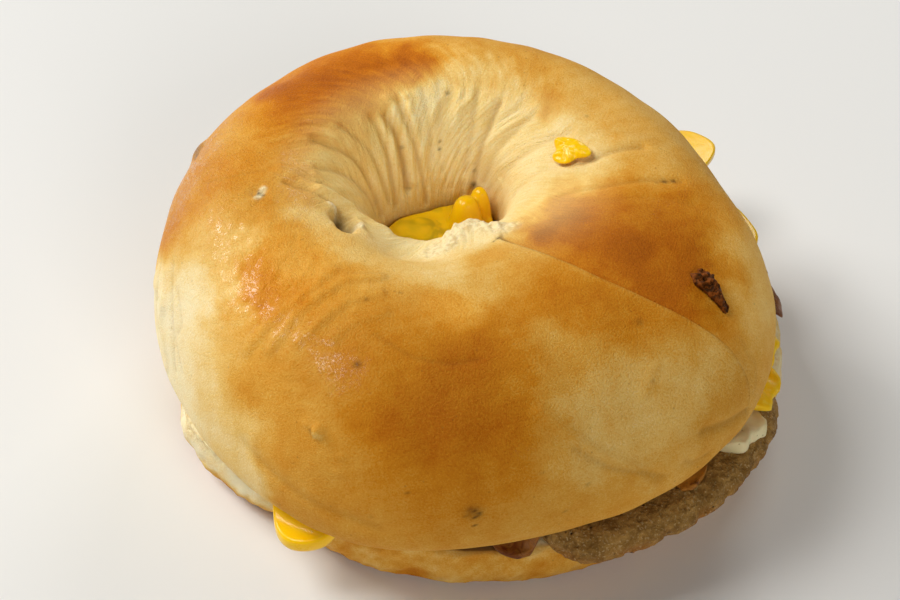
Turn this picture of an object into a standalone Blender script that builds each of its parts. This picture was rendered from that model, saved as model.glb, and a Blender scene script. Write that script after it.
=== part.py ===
"""A filled breakfast bagel: two halves of a plain bagel round a sausage patty, bacon, egg and cheese.

Metres, +Z up. The origin is on the surface that the bagel stands on, in the middle of its plan.
Angles are in degrees, counted from +X towards +Y. The shapes are laid out round the middle of the
top half first, and the whole is then moved by PLAN_SHIFT, so that the origin is in the middle.
"""
import bmesh
import bpy
import numpy as np

MM = 0.001
GAP = 0.3 * MM
PLAN_SHIFT = (-1.9 * MM, 0.2 * MM)

# Top half: its widest ring, the hole through it and the height of its crown
TOP_CENTRE = (-1.6 * MM, -0.9 * MM)
TOP_RADIUS = 56.0 * MM
TOP_WAVES = ((2, 3.4 * MM, -55.5), (3, 0.8 * MM, -16.0), (4, 0.6 * MM, -21.0), (5, 0.4 * MM, -35.0))
HOLE_CENTRE = (-4.4 * MM, 12.5 * MM)
HOLE_RADIUS = 9.8 * MM
HOLE_WAVES = ((2, 1.8 * MM, 20.0),)
CROWN_HEIGHT = 52.0 * MM
CROWN_LEAN = 0.03
THROAT_HEIGHT = 30.0 * MM
OUTER_FULLNESS = 2.2
INNER_FULLNESS = 2.0
CRUST_TURN_UNDER = 3.5 * MM
RIM_TO_WIDEST = 6.0 * MM

# The cut under the top half: a leaning rim, raised in the middle by the filling
RIM_HEIGHT = 21.0 * MM
RIM_SLOPE = 0.102
RIM_UPHILL = -8.0
FILLED_HEIGHT = 28.3 * MM
FILLED_RADIUS = 38.0 * MM
RIM_RADIUS = 50.0 * MM
FALL_ROOM = 1.00 * MM

# Crust folds: the overlapped seam on the right and the pleats drawn into the hole
TOP_STEPS = 84
SEAM_HEIGHT = 1.1 * MM
SEAM_COLUMN = -8
SEAM_CURL = 0.0029
SEAM_CURL_FROM = 15.0
SEAM_CURL_TO = 120.0
PLEATS = ((152.0, 1.3 * MM, 9.0), (128.0, 0.9 * MM, 7.0), (48.0, 1.3 * MM, 8.0), (88.0, 0.5 * MM, 8.0),
          (196.0, 0.9 * MM, 9.0), (20.0, 0.6 * MM, 8.0))
CREASES = ((-4.0, 72.0, 112.0, 0.8 * MM, 5.0), (-129.0, 55.0, 100.0, 0.6 * MM, 5.0))

# Bottom half
BOTTOM_CENTRE = (3.5 * MM, 0.5 * MM)
BOTTOM_RADIUS = 53.2 * MM
BOTTOM_WAVES = ((2, 3.8 * MM, 0.0),)
BOTTOM_DENTS = ((-42.0, 4.5 * MM, 20.0), (-12.0, 1.8 * MM, 14.0), (-137.0, 2.8 * MM, 15.0),
                (-157.0, -1.0 * MM, 10.0))
BOTTOM_HEIGHT = 13.5 * MM
BOTTOM_WIDEST = 8.0 * MM
FOOT_INSET = 9.0 * MM
BOTTOM_HOLE_CENTRE = (-3.0 * MM, 9.0 * MM)
BOTTOM_HOLE_RADIUS = 8.5 * MM

# Sausage patty
PATTY_CENTRE = (9.4 * MM, -5.4 * MM)
PATTY_RADIUS = 49.5 * MM
PATTY_TUCK = 3.6 * MM
PATTY_HIDDEN_RADIUS = 44.0 * MM
PATTY_NOTCH_RADIUS = 38.0 * MM
PATTY_THICKNESS = 7.4 * MM
PATTY_EDGE = 3.5 * MM
PATTY_LOW = BOTTOM_HEIGHT + GAP
PATTY_TOP = PATTY_LOW + PATTY_THICKNESS

# Bacon strips: where each visible end lies, where the hidden end lies and the width
BACON_THICKNESS = 1.3 * MM
BACON_STRIPS = {
    "bacon_front": ((11.8 * MM, -50.6 * MM), (-9.0 * MM, 30.0 * MM), 13.5 * MM),
    "bacon_side": ((40.6 * MM, -39.0 * MM), (30.5 * MM, -34.0 * MM), 6.5 * MM),
    "bacon_right": ((55.2 * MM, 0.5 * MM), (50.6 * MM, 25.0 * MM), 9.0 * MM),
}

# Egg
EGG_CENTRE = (3.0 * MM, 1.0 * MM)
EGG_RADIUS = 36.5 * MM
EGG_WAVES = ((2, 1.5 * MM, 10.0), (3, 1.0 * MM, 70.0))
EGG_FLAP_ANGLE = -34.0
EGG_FLAP = 21.0 * MM
EGG_FLAP_WIDTH = 9.0
EGG_LOW = PATTY_TOP + GAP + BACON_THICKNESS + GAP
EGG_RINGS = ((20.0 * MM, 0.5), (34.0 * MM, 0.84), (42.0 * MM, 0.9), (47.0 * MM, 0.94), (56.0 * MM, 0.975))
EGG_THIN = 0.8 * MM

# Cheese
CHEESE_THICKNESS = 1.4 * MM
CHEESE_RADIUS = 41.5 * MM
CHEESE_CORNERS = ((47.2, 29.0 * MM, 9.6, 3), (23.0, 17.0 * MM, 12.5, 4), (-22.5, 17.4 * MM, 7.5, 6),
                  (-13.0, 15.4 * MM, 9.5, 4), (4.0, 12.5 * MM, 12.0, 4), (-121.8, 15.0 * MM, 12.5, 2))
CHEESE_RINGS = ((37.5 * MM, 0.0), (40.0 * MM, 0.3), (43.0 * MM, 0.5), (46.5 * MM, 0.7), (50.0 * MM, 0.85),
                (56.0 * MM, 0.95))
CHEESE_DRIP_ANGLE = -121.0
CHEESE_DRIP_WIDTH = 10.0
CHEESE_DRIP = 2.6 * MM
CHEESE_DRIP_THICKENING = 1.2 * MM
CHEESE_POOL = 3.2 * MM
CHEESE_LUMPS = ((0.4 * MM, 15.0 * MM, 2.9 * MM, 6.0 * MM), (3.1 * MM, 18.0 * MM, 2.4 * MM, 5.8 * MM))

# Crumbs on the crust: angle, sweep, half length, half width, height, turn
CHEESE_DAB = (10.0, 117.0, 3.5 * MM, 3.3 * MM, 1.9 * MM, 20.0)
BACON_CRUMB = (-29.6, 55.0, 4.5 * MM, 1.7 * MM, 1.8 * MM, 82.0)

# Mesh steps
BOTTOM_STEPS = 60
CHEESE_STEPS = 80
EGG_STEPS = 72
PATTY_STEPS = 64


def remove_all_objects():
    for found in list(bpy.data.objects):
        bpy.data.objects.remove(found, do_unlink=True)


def wave_sum(angle, waves):
    """Sum of height * cos(count * (angle - phase)) over the waves."""
    total = np.zeros_like(angle)
    for count, height, phase in waves:
        total = total + height * np.cos(count * np.radians(angle - phase))
    return total


def smooth_step(low, high, value):
    """0 below low, 1 above high and 3t^2 - 2t^3 between them."""
    t = np.clip((value - low) / (high - low), 0.0, 1.0)
    return t * t * (3.0 - 2.0 * t)


def turn_from(angle, centre):
    """Signed angle from centre to angle, between -180 and 180."""
    return (angle - centre + 180.0) % 360.0 - 180.0


def bell(angle, centre, width, power=2):
    """exp(-|turn / width|^power) of the turn between two angles."""
    return np.exp(-np.abs(turn_from(angle, centre) / width) ** power)


def round_steps(count):
    """Angles of a closed ring."""
    return np.arange(count) * 360.0 / count


def ring(centre, radius, angle):
    """Plan points at a radius round a centre."""
    x = centre[0] + radius * np.cos(np.radians(angle))
    y = centre[1] + radius * np.sin(np.radians(angle))
    return x, y


def rim_height(x, y):
    """The leaning plane of the top half's lower rim."""
    uphill = np.radians(RIM_UPHILL)
    return RIM_HEIGHT + RIM_SLOPE * (x * np.cos(uphill) + y * np.sin(uphill))


def cut_height(x, y):
    """Underside of the top half: level over the filling, then falling in an S to the leaning rim."""
    fall = smooth_step(FILLED_RADIUS, RIM_RADIUS, np.hypot(x, y))
    return FILLED_HEIGHT + (rim_height(x, y) - FILLED_HEIGHT) * fall


def slack(x, y):
    """Extra room between the layers where the underside falls: most midway, more under a deeper fall."""
    fall = smooth_step(FILLED_RADIUS - 1.0 * MM, RIM_RADIUS + 1.0 * MM, np.hypot(x, y))
    depth = FILLED_HEIGHT - rim_height(x, y)
    return 4.0 * fall * (1.0 - fall) * (FALL_ROOM + 0.10 * depth)


def seam_curl(sweep):
    """Turn of the seam and of the mesh columns along it: -curl * (sweep - start)^2, undone in the throat."""
    past = np.clip(sweep, SEAM_CURL_FROM, SEAM_CURL_TO) - SEAM_CURL_FROM
    return -SEAM_CURL * past ** 2 * smooth_step(182.0, 100.0, sweep)


def fold_relief(angle, sweep):
    """Height of the crust folds along the normal.

    The seam is proud on its near side, falls to a trough beyond it and fades both ways.
    The pleats are bell-shaped grooves that fade from the throat up to the crown, and the creases are
    such grooves on the crust.
    """
    turn = turn_from(angle, SEAM_COLUMN * 360.0 / TOP_STEPS + seam_curl(sweep))
    near = np.exp(np.minimum(turn, 0.0) / 20.0) * (turn < 0.1)
    far = -0.45 * np.exp(-np.maximum(turn, 0.0) / 12.0) * (turn >= 0.1)
    along = smooth_step(-10.0, 25.0, sweep) * smooth_step(128.0, 96.0, sweep)
    relief = SEAM_HEIGHT * (near + far) * along
    inside = smooth_step(80.0, 125.0, sweep) * smooth_step(182.0, 168.0, sweep)
    for centre, depth, width in PLEATS:
        relief = relief - depth * bell(angle, centre, width) * inside
    for centre, start, end, depth, width in CREASES:
        fade = smooth_step(start - 12.0, start + 6.0, sweep) * smooth_step(end + 12.0, end - 6.0, sweep)
        relief = relief - depth * bell(angle, centre, width) * fade
    return relief


def smooth_top(angle, sweep):
    """Top half without its folds, as points (x, y, z).

    The sweep is -90 at the rim, 0 at the widest ring, 90 at the crown and 180 at the throat. The plan
    point lies on the straight line from the hole's ring to the widest ring, halfway at the crown. Both
    sides of the section are quarters of a superellipse, and below 0 it turns under to the rim.
    """
    turn = np.radians(sweep)
    outer_x, outer_y = ring(TOP_CENTRE, TOP_RADIUS + wave_sum(angle, TOP_WAVES), angle)
    inner_x, inner_y = ring(HOLE_CENTRE, HOLE_RADIUS + wave_sum(angle, HOLE_WAVES), angle)
    width = np.hypot(outer_x - inner_x, outer_y - inner_y)
    across = np.abs(np.cos(turn))
    up = np.abs(np.sin(turn))
    share = np.where(sweep <= 90.0, 0.5 + 0.5 * across ** (2.0 / OUTER_FULLNESS),
                     0.5 - 0.5 * across ** (2.0 / INNER_FULLNESS))
    share = np.where(sweep < 0.0, 1.0 - CRUST_TURN_UNDER / width * (1.0 - across), share)
    x = inner_x + share * (outer_x - inner_x)
    y = inner_y + share * (outer_y - inner_y)
    crown = CROWN_HEIGHT + CROWN_LEAN * x
    widest = rim_height(x, y) + RIM_TO_WIDEST
    z = np.where(sweep <= 90.0, widest + (crown - widest) * up ** (2.0 / OUTER_FULLNESS),
                 THROAT_HEIGHT + (crown - THROAT_HEIGHT) * up ** (2.0 / INNER_FULLNESS))
    z = np.where(sweep < 0.0, widest - RIM_TO_WIDEST * up, z)
    return np.stack([x, y, z], axis=-1)


def top_normal(angle, sweep):
    """Outward normal of the smooth top, from its two tangents."""
    step = 0.5
    around = smooth_top(angle + step, sweep) - smooth_top(angle - step, sweep)
    over = smooth_top(angle, sweep + step) - smooth_top(angle, sweep - step)
    normal = np.cross(around, over)
    return normal / np.maximum(np.linalg.norm(normal, axis=-1, keepdims=True), 1e-12)


def top_surface(angle, sweep):
    """Smooth top plus its folds along the normal."""
    return smooth_top(angle, sweep) + fold_relief(angle, sweep)[..., None] * top_normal(angle, sweep)


def between(start, end, shares):
    """Rows of points on the straight lines from one ring to another."""
    return [start + np.reshape(share, (-1, 1)) * (end - start) for share in shares]


def level_shares(start, end, beyond):
    """Shares of the lines between two rings: halfway to where the fall begins, there, and beyond it."""
    near = np.hypot(start[:, 0], start[:, 1])
    far = np.hypot(end[:, 0], end[:, 1])
    level = (FILLED_RADIUS - 0.5 * MM - near) / (far - near)
    return [0.5 * level, level] + [level + (1.0 - level) * share for share in beyond]


def bagel_top_rows():
    """Section rows of the top half: crust from rim to throat, then the cut face back to the rim."""
    angle = round_steps(TOP_STEPS)
    rows = []
    for sweep in (-90, -60, -30, 0, 12, 24, 36, 48, 60, 75, 90, 104, 118, 132, 146, 160, 172, 180):
        level = np.full_like(angle, float(sweep))
        rows.append(top_surface(angle + seam_curl(level), level))
    edge = rows[-1].copy()
    edge[:, 2] = FILLED_HEIGHT
    rows.append(edge)
    face = between(edge, rows[0], level_shares(edge, rows[0], (0.22, 0.42, 0.62, 0.82)))
    for row in face:
        row[:, 2] = cut_height(row[:, 0], row[:, 1])
    return rows + face


def bagel_bottom_rows():
    """Section rows of the bottom half: flat base, round side, cut face and the hole's wall."""
    angle = round_steps(BOTTOM_STEPS)
    radius = BOTTOM_RADIUS + wave_sum(angle, BOTTOM_WAVES)
    for centre, depth, width in BOTTOM_DENTS:
        radius = radius - depth * bell(angle, centre, width)
    rows = []
    for turn in (-90.0, -60.0, -35.0, -12.0, 12.0, 40.0, 68.0):
        low = turn < 0.0
        inset = FOOT_INSET if low else 1.2 * MM
        rise = BOTTOM_WIDEST if low else BOTTOM_HEIGHT - BOTTOM_WIDEST
        x, y = ring(BOTTOM_CENTRE, radius - inset * (1.0 - np.cos(np.radians(turn))), angle)
        rows.append(np.stack([x, y, BOTTOM_WIDEST + rise * np.sin(np.radians(turn)) + 0.0 * x], axis=-1))
    rim_x, rim_y = ring(BOTTOM_CENTRE, radius - 1.8 * MM, angle)
    rim = np.stack([rim_x, rim_y, BOTTOM_HEIGHT + 0.0 * rim_x], axis=-1)
    rows.append(rim)
    hole = []
    for height, flare in ((BOTTOM_HEIGHT, 0.8 * MM), (0.5 * BOTTOM_HEIGHT, 0.0), (0.0, 1.8 * MM)):
        x, y = ring(BOTTOM_HOLE_CENTRE, BOTTOM_HOLE_RADIUS + flare, angle)
        hole.append(np.stack([x, y, height + 0.0 * x], axis=-1))
    rows += between(rim, hole[0], (0.3, 0.65))
    rows += hole
    rows += between(hole[-1], rows[0], (0.5,))
    return rows


def patty_radius(angle):
    """Patty outline: full on the right, less where it is hidden, with a torn corner at the front."""
    shown = smooth_step(95.0, 35.0, np.abs(turn_from(angle, -45.0)))
    radius = PATTY_HIDDEN_RADIUS + (PATTY_RADIUS - PATTY_HIDDEN_RADIUS) * shown
    corner = PATTY_RADIUS * bell(angle, -70.0, 12.0) + radius * (1.0 - bell(angle, -70.0, 12.0))
    torn = smooth_step(-76.0, -93.0, angle) * smooth_step(-165.0, -120.0, angle)
    tuck = PATTY_TUCK * bell(angle, -3.0, 13.0, 4)
    return corner + (PATTY_NOTCH_RADIUS - corner) * torn - tuck


def patty_inside(x, y):
    """Distance of a plan point inside the patty's outline, measured along its radius."""
    across = x - PATTY_CENTRE[0]
    along = y - PATTY_CENTRE[1]
    return patty_radius(np.degrees(np.arctan2(along, across))) - np.hypot(across, along)


def patty_rows():
    """Section rows of the patty from the middle of its underside round its edge to the middle on top."""
    angle = round_steps(PATTY_STEPS)
    angle = np.where(angle > 180.0, angle - 360.0, angle)
    radius = patty_radius(angle)
    middle = 0.5 * (PATTY_LOW + PATTY_TOP)
    half = 0.5 * PATTY_THICKNESS
    rows = []
    for share in (0.35, 0.75):
        x, y = ring(PATTY_CENTRE, radius * share, angle)
        rows.append(np.stack([x, y, PATTY_LOW + 0.0 * x], axis=-1))
    for turn in (-90.0, -45.0, 0.0, 45.0, 90.0):
        x, y = ring(PATTY_CENTRE, radius - PATTY_EDGE * (1.0 - np.cos(np.radians(turn))), angle)
        rows.append(np.stack([x, y, middle + half * np.sin(np.radians(turn)) + 0.0 * x], axis=-1))
    for share in (0.75, 0.35):
        x, y = ring(PATTY_CENTRE, radius * share, angle)
        rows.append(np.stack([x, y, PATTY_TOP + 0.0 * x], axis=-1))
    return rows


def bacon_support(x, y):
    """What a strip lies on: the patty's top, with a ramp to the bottom half beside its edge."""
    ramp = smooth_step(-6.5 * MM, -1.2 * MM, patty_inside(x, y))
    return BOTTOM_HEIGHT + (PATTY_TOP - BOTTOM_HEIGHT) * ramp


def bacon_rows(start, end, width):
    """Cross sections of a strip along its path, each a closed ring of eight points.

    The strip bends a little sideways, its edges are ragged, and it is thicker where it hangs steeply.
    """
    count = 17
    share = np.linspace(0.0, 1.0, count)
    start = np.array(start)
    path = np.array(end) - start
    side = np.array([-path[1], path[0]]) / np.linalg.norm(path)
    bend = 1.2 * MM * np.sin(2.2 * np.pi * share)
    half = 0.5 * width * (1.0 + 0.10 * np.sin(9.0 * share + 1.0))
    ends = np.sqrt(np.clip(1.0 - (2.0 * share - 1.0) ** 12, 0.12, 1.0))
    rows = []
    for place, shift, reach in zip(share, bend, half * ends):
        middle = start + place * path + shift * side
        offsets = np.array([-1.0, -0.5, 0.5, 1.0]) * reach
        x = middle[0] + offsets * side[0]
        y = middle[1] + offsets * side[1]
        low = bacon_support(x, y) + GAP
        steep = np.clip((PATTY_TOP - low) / PATTY_THICKNESS, 0.0, 1.0)
        high = low + BACON_THICKNESS * (1.0 + 0.6 * steep)
        thin = np.array([0.3, 0.0, 0.0, 0.3]) * MM
        under = np.stack([x, y, low + thin], axis=-1)
        over = np.stack([x, y, high - thin], axis=-1)
        rows.append(np.concatenate([under, over[::-1]]))
    return rows


def sheet_rows(angle, centre, radius, shares, height_low, height_high):
    """Closed rows of a thin sheet: its underside from the middle out, its edge and its top back in."""
    rows = []
    for share in shares:
        x, y = ring(centre, radius * share, angle)
        rows.append(np.stack([x, y, height_low(x, y)], axis=-1))
    x, y = ring(centre, radius, angle)
    rows.append(np.stack([x, y, 0.5 * (height_low(x, y) + height_high(x, y))], axis=-1))
    for share in reversed(shares):
        x, y = ring(centre, radius * share, angle)
        rows.append(np.stack([x, y, height_high(x, y)], axis=-1))
    return rows


def egg_rows():
    """Egg sheet under the cheese, sagging onto the patty where its flap comes out."""
    angle = round_steps(EGG_STEPS)
    radius = EGG_RADIUS + wave_sum(angle, EGG_WAVES)
    radius = radius + EGG_FLAP * bell(angle, EGG_FLAP_ANGLE, EGG_FLAP_WIDTH, 3)

    def low(x, y):
        return EGG_LOW - (EGG_LOW - PATTY_TOP - GAP) * smooth_step(14.0 * MM, 24.0 * MM, x)

    def high(x, y):
        out = np.hypot(x, y)
        room = 1.8 * slack(x, y) + EGG_THIN * smooth_step(30.0 * MM, 36.0 * MM, out)
        room = room * smooth_step(53.0 * MM, 47.0 * MM, out)
        return cut_height(x, y) - CHEESE_THICKNESS - 2.0 * GAP - room

    shares = [np.minimum(most, out / radius) for out, most in EGG_RINGS]
    return sheet_rows(angle, EGG_CENTRE, radius, shares, low, high)


def cheese_high(x, y):
    """Top of the cheese: just under the top half, bulging into the hole, with two lumps there.

    Outside the top half it sags, and at the front left it hangs down in a drip.
    """
    out = np.hypot(x, y)
    angle = np.degrees(np.arctan2(y, x))
    height = cut_height(x, y) - GAP - 1.2 * slack(x, y)
    hole_angle = np.degrees(np.arctan2(y - HOLE_CENTRE[1], x - HOLE_CENTRE[0]))
    hole_radius = HOLE_RADIUS + wave_sum(hole_angle, HOLE_WAVES)
    inside = hole_radius - np.hypot(x - HOLE_CENTRE[0], y - HOLE_CENTRE[1])
    pool = smooth_step(1.0 * MM, 3.0 * MM, inside)
    height = height + CHEESE_POOL * pool
    for lump_x, lump_y, size, rise in CHEESE_LUMPS:
        height = height + rise * np.exp(-(((x - lump_x) ** 2 + (y - lump_y) ** 2) / size ** 2) ** 1.5) * pool
    sag = np.maximum(out - 56.0 * MM, 0.0)
    height = height - 0.22 * sag
    drip = smooth_step(50.2 * MM, 54.0 * MM, out) * bell(angle, CHEESE_DRIP_ANGLE, CHEESE_DRIP_WIDTH, 4)
    return height - CHEESE_DRIP * drip


def cheese_low(x, y):
    """Underside of the cheese, thicker where it hangs steeply."""
    angle = np.degrees(np.arctan2(y, x))
    out = np.hypot(x, y)
    hanging = smooth_step(50.6 * MM, 53.0 * MM, out) * bell(angle, CHEESE_DRIP_ANGLE, CHEESE_DRIP_WIDTH, 4)
    inside = HOLE_RADIUS - np.hypot(x - HOLE_CENTRE[0], y - HOLE_CENTRE[1])
    level = np.where(inside > -3.0 * MM, FILLED_HEIGHT - GAP, np.minimum(cheese_high(x, y), FILLED_HEIGHT))
    return level - CHEESE_THICKNESS - CHEESE_DRIP_THICKENING * hanging


def cheese_rows():
    """Cheese sheet as rings that pass from the hole's outline to the slice's outline."""
    angle = round_steps(CHEESE_STEPS)
    reach = CHEESE_RADIUS + 0.0 * angle
    for centre, length, width, power in CHEESE_CORNERS:
        reach = np.maximum(reach, CHEESE_RADIUS + length * bell(angle, centre, width, power))
    hole_radius = HOLE_RADIUS + wave_sum(angle, HOLE_WAVES)
    plan = [np.stack(ring(HOLE_CENTRE, hole_radius * share, angle), axis=-1)
            for share in (0.25, 0.5, 0.72, 0.9, 1.1)]
    slice_edge = np.stack(ring((0.0, 0.0), reach, angle), axis=-1)
    near = np.hypot(plan[-1][:, 0], plan[-1][:, 1])
    plan += between(plan[-1], slice_edge, [0.5 * (FILLED_RADIUS - near) / (reach - near)])
    for target, most in CHEESE_RINGS:
        out = np.minimum(target, FILLED_RADIUS + most * (reach - FILLED_RADIUS))
        plan += between(plan[4], slice_edge, [(out - near) / (reach - near)])
    rows = []
    for row in plan[4:]:
        rows.append(np.column_stack([row, cheese_low(row[:, 0], row[:, 1])]))
    x, y = slice_edge[:, 0], slice_edge[:, 1]
    rows.append(np.column_stack([slice_edge, 0.5 * (cheese_low(x, y) + cheese_high(x, y))]))
    for row in reversed(plan):
        rows.append(np.column_stack([row, cheese_high(row[:, 0], row[:, 1])]))
    return rows


def crumb_rows(angle_at, sweep_at, half_length, half_width, height, turn):
    """A crumb on the crust: rings of an oval in the surface, its underside a gap above the crust.

    The oval is measured in metres round and over the crust at its middle and mapped to angle and sweep.
    """
    around = round_steps(14)
    middle = smooth_top(np.array(angle_at), np.array(sweep_at))
    per_angle = np.linalg.norm(smooth_top(np.array(angle_at + 1.0), np.array(sweep_at)) - middle)
    per_sweep = np.linalg.norm(smooth_top(np.array(angle_at), np.array(sweep_at + 1.0)) - middle)
    uneven = 1.0 + 0.16 * np.cos(np.radians(3.0 * around + 40.0)) + 0.08 * np.cos(np.radians(5.0 * around))
    rows = []
    for share, lift in ((0.5, 0.0), (0.9, 0.0), (1.0, 0.45), (0.86, 0.8), (0.45, 1.0)):
        long_way = half_length * share * uneven * np.cos(np.radians(around))
        short_way = half_width * share * uneven * np.sin(np.radians(around))
        cosine = np.cos(np.radians(turn))
        sine = np.sin(np.radians(turn))
        at_angle = angle_at + (long_way * cosine - short_way * sine) / per_angle
        at_sweep = sweep_at + (long_way * sine + short_way * cosine) / per_sweep
        up = GAP + height * lift
        rows.append(top_surface(at_angle, at_sweep) + up * top_normal(at_angle, at_sweep))
    return rows


def finish(name, color, roughness):
    """Principled material of one sub-part."""
    material = bpy.data.materials.new(name)
    material.use_nodes = True
    shader = material.node_tree.nodes["Principled BSDF"]
    shader.inputs["Base Color"].default_value = (*color, 1.0)
    shader.inputs["Roughness"].default_value = roughness
    return material


def skin_rows(name, rows, material, tube=False):
    """Object from rings of points, joined by quads.

    A tube's last row joins its first. Otherwise each end is closed by a fan round its middle point.
    """
    mesh = bmesh.new()
    shift = np.array([PLAN_SHIFT[0], PLAN_SHIFT[1], 0.0])
    rings = [[mesh.verts.new(point + shift) for point in row] for row in rows]
    pairs = list(zip(rings[:-1], rings[1:]))
    if tube:
        pairs.append((rings[-1], rings[0]))
    for lower, upper in pairs:
        for step in range(len(lower)):
            after = (step + 1) % len(lower)
            mesh.faces.new((lower[step], lower[after], upper[after], upper[step]))
    if not tube:
        for row, ring_verts in ((rows[0], rings[0]), (rows[-1], rings[-1])):
            middle = mesh.verts.new(np.mean(row, axis=0) + shift)
            for step in range(len(ring_verts)):
                after = (step + 1) % len(ring_verts)
                mesh.faces.new((ring_verts[step], ring_verts[after], middle))
    bmesh.ops.recalc_face_normals(mesh, faces=mesh.faces)
    if mesh.calc_volume(signed=True) < 0.0:
        bmesh.ops.reverse_faces(mesh, faces=mesh.faces)
    data = bpy.data.meshes.new(name)
    mesh.to_mesh(data)
    mesh.free()
    data.shade_smooth()
    data.materials.append(material)
    made = bpy.data.objects.new(name, data)
    bpy.context.scene.collection.objects.link(made)
    return made


def main():
    remove_all_objects()
    crust = finish("crust", (0.60, 0.34, 0.12), 0.5)
    crumb = finish("bottom_crust", (0.66, 0.45, 0.22), 0.6)
    cheese = finish("cheese", (0.90, 0.58, 0.04), 0.3)
    egg = finish("egg", (0.82, 0.78, 0.62), 0.5)
    sausage = finish("sausage", (0.27, 0.18, 0.11), 0.6)
    bacon = finish("bacon", (0.30, 0.09, 0.03), 0.4)
    skin_rows("bagel_top", bagel_top_rows(), crust, tube=True)
    skin_rows("bagel_bottom", bagel_bottom_rows(), crumb, tube=True)
    skin_rows("sausage_patty", patty_rows(), sausage)
    for name, (start, end, width) in BACON_STRIPS.items():
        skin_rows(name, bacon_rows(start, end, width), bacon)
    skin_rows("egg", egg_rows(), egg)
    skin_rows("cheese", cheese_rows(), cheese)
    skin_rows("cheese_dab", crumb_rows(*CHEESE_DAB), cheese)
    skin_rows("bacon_crumb", crumb_rows(*BACON_CRUMB), bacon)


main()
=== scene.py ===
"""Looks of the filled bagel: browned crust, torn dough, sausage, bacon, egg and melted cheese.

Shapes are worked out in millimetres round the middle of the top half, with angles in degrees from +X
towards +Y, and are moved by PLAN_SHIFT into the part's frame when a mesh is made.
"""

import bpy
import numpy as np
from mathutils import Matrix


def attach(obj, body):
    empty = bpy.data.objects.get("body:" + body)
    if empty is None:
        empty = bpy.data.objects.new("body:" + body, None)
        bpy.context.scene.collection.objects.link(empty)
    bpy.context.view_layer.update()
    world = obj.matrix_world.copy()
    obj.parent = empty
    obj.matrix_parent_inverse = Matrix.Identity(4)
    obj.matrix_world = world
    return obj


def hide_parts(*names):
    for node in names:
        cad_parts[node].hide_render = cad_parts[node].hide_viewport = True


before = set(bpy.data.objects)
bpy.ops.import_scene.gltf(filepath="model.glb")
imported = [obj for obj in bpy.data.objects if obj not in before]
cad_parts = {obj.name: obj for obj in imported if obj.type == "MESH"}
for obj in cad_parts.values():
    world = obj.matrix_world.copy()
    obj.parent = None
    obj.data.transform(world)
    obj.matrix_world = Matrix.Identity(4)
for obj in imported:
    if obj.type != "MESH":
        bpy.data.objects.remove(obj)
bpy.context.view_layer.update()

PLAN_SHIFT = (-1.9, 0.2)
GAP = 0.3

# Top half: its widest ring, the hole through it and the height of its crown
TOP_CENTRE = (-1.6, -0.9)
TOP_RADIUS = 56.0
TOP_WAVES = ((2, 3.4, -55.5), (3, 0.8, -16.0), (4, 0.6, -21.0), (5, 0.4, -35.0))
HOLE_CENTRE = (-4.4, 12.5)
HOLE_RADIUS = 9.8
HOLE_WAVES = ((2, 1.8, 20.0),)
CROWN_HEIGHT = 52.0
CROWN_LEAN = 0.03
THROAT_HEIGHT = 30.0
OUTER_FULLNESS = 2.2
INNER_FULLNESS = 2.0
CRUST_TURN_UNDER = 3.5
RIM_TO_WIDEST = 6.0

# The cut under the top half
RIM_HEIGHT = 21.0
RIM_SLOPE = 0.102
RIM_UPHILL = -8.0
FILLED_HEIGHT = 28.3
FILLED_RADIUS = 38.0
RIM_RADIUS = 50.0

# The overlapped seam, whose line the mesh columns follow
SEAM_START = -34.2857
SEAM_HEIGHT = 1.1
SEAM_CURL = 0.0029
SEAM_CURL_FROM = 15.0
SEAM_CURL_TO = 120.0

# Bottom half
BOTTOM_CENTRE = (3.5, 0.5)
BOTTOM_RADIUS = 53.2
BOTTOM_WAVES = ((2, 3.8, 0.0),)
BOTTOM_DENTS = ((-42.0, 4.5, 20.0), (-12.0, 1.8, 14.0), (-137.0, 2.8, 15.0), (-157.0, -1.0, 10.0))
BOTTOM_HEIGHT = 13.5
BOTTOM_WIDEST = 8.0
FOOT_INSET = 9.0
BOTTOM_HOLE_CENTRE = (-3.0, 9.0)
BOTTOM_HOLE_RADIUS = 8.5
BOTTOM_HOLE_WALL = ((11.0, 0.35), (8.5, 0.1), (6.0, 0.0), (3.5, 0.35), (1.5, 1.0), (0.0, 1.8))

# Fillings
PATTY_CENTRE = (9.4, -5.4)
PATTY_TUCK = 3.6
PATTY_RADIUS = 49.5
PATTY_HIDDEN_RADIUS = 44.0
PATTY_NOTCH_RADIUS = 38.0
PATTY_THICKNESS = 7.4
PATTY_EDGE = 3.5
PATTY_LOW = BOTTOM_HEIGHT + GAP
PATTY_TOP = PATTY_LOW + PATTY_THICKNESS
BACON_THICKNESS = 1.3
BACON_BEND = 1.2
EGG_CENTRE = (3.0, 1.0)
EGG_RADIUS = 36.5
EGG_WAVES = ((2, 1.5, 10.0), (3, 1.0, 70.0))
EGG_FLAP_ANGLE = -34.0
EGG_FLAP = 21.0
EGG_FLAP_WIDTH = 9.0
EGG_LOW = PATTY_TOP + GAP + BACON_THICKNESS + GAP
CHEESE_THICKNESS = 1.4
CHEESE_RADIUS = 41.5
CHEESE_CORNERS = ((47.2, 29.0, 9.6, 3), (23.0, 17.0, 12.5, 4), (-22.5, 17.4, 7.5, 6), (-13.0, 15.4, 9.5, 4),
                  (4.0, 12.5, 12.0, 4), (-121.8, 15.0, 12.5, 2))
CHEESE_DRIP_ANGLE = -121.0
CHEESE_DRIP_WIDTH = 10.0
CHEESE_DRIP = 2.6
CHEESE_DRIP_THICKENING = 1.2
CHEESE_SAG = 0.22
CHEESE_SAG_FROM = 56.0
CHEESE_LUMPY_ANGLE = -14.0
CHEESE_POOL = 3.2
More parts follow.
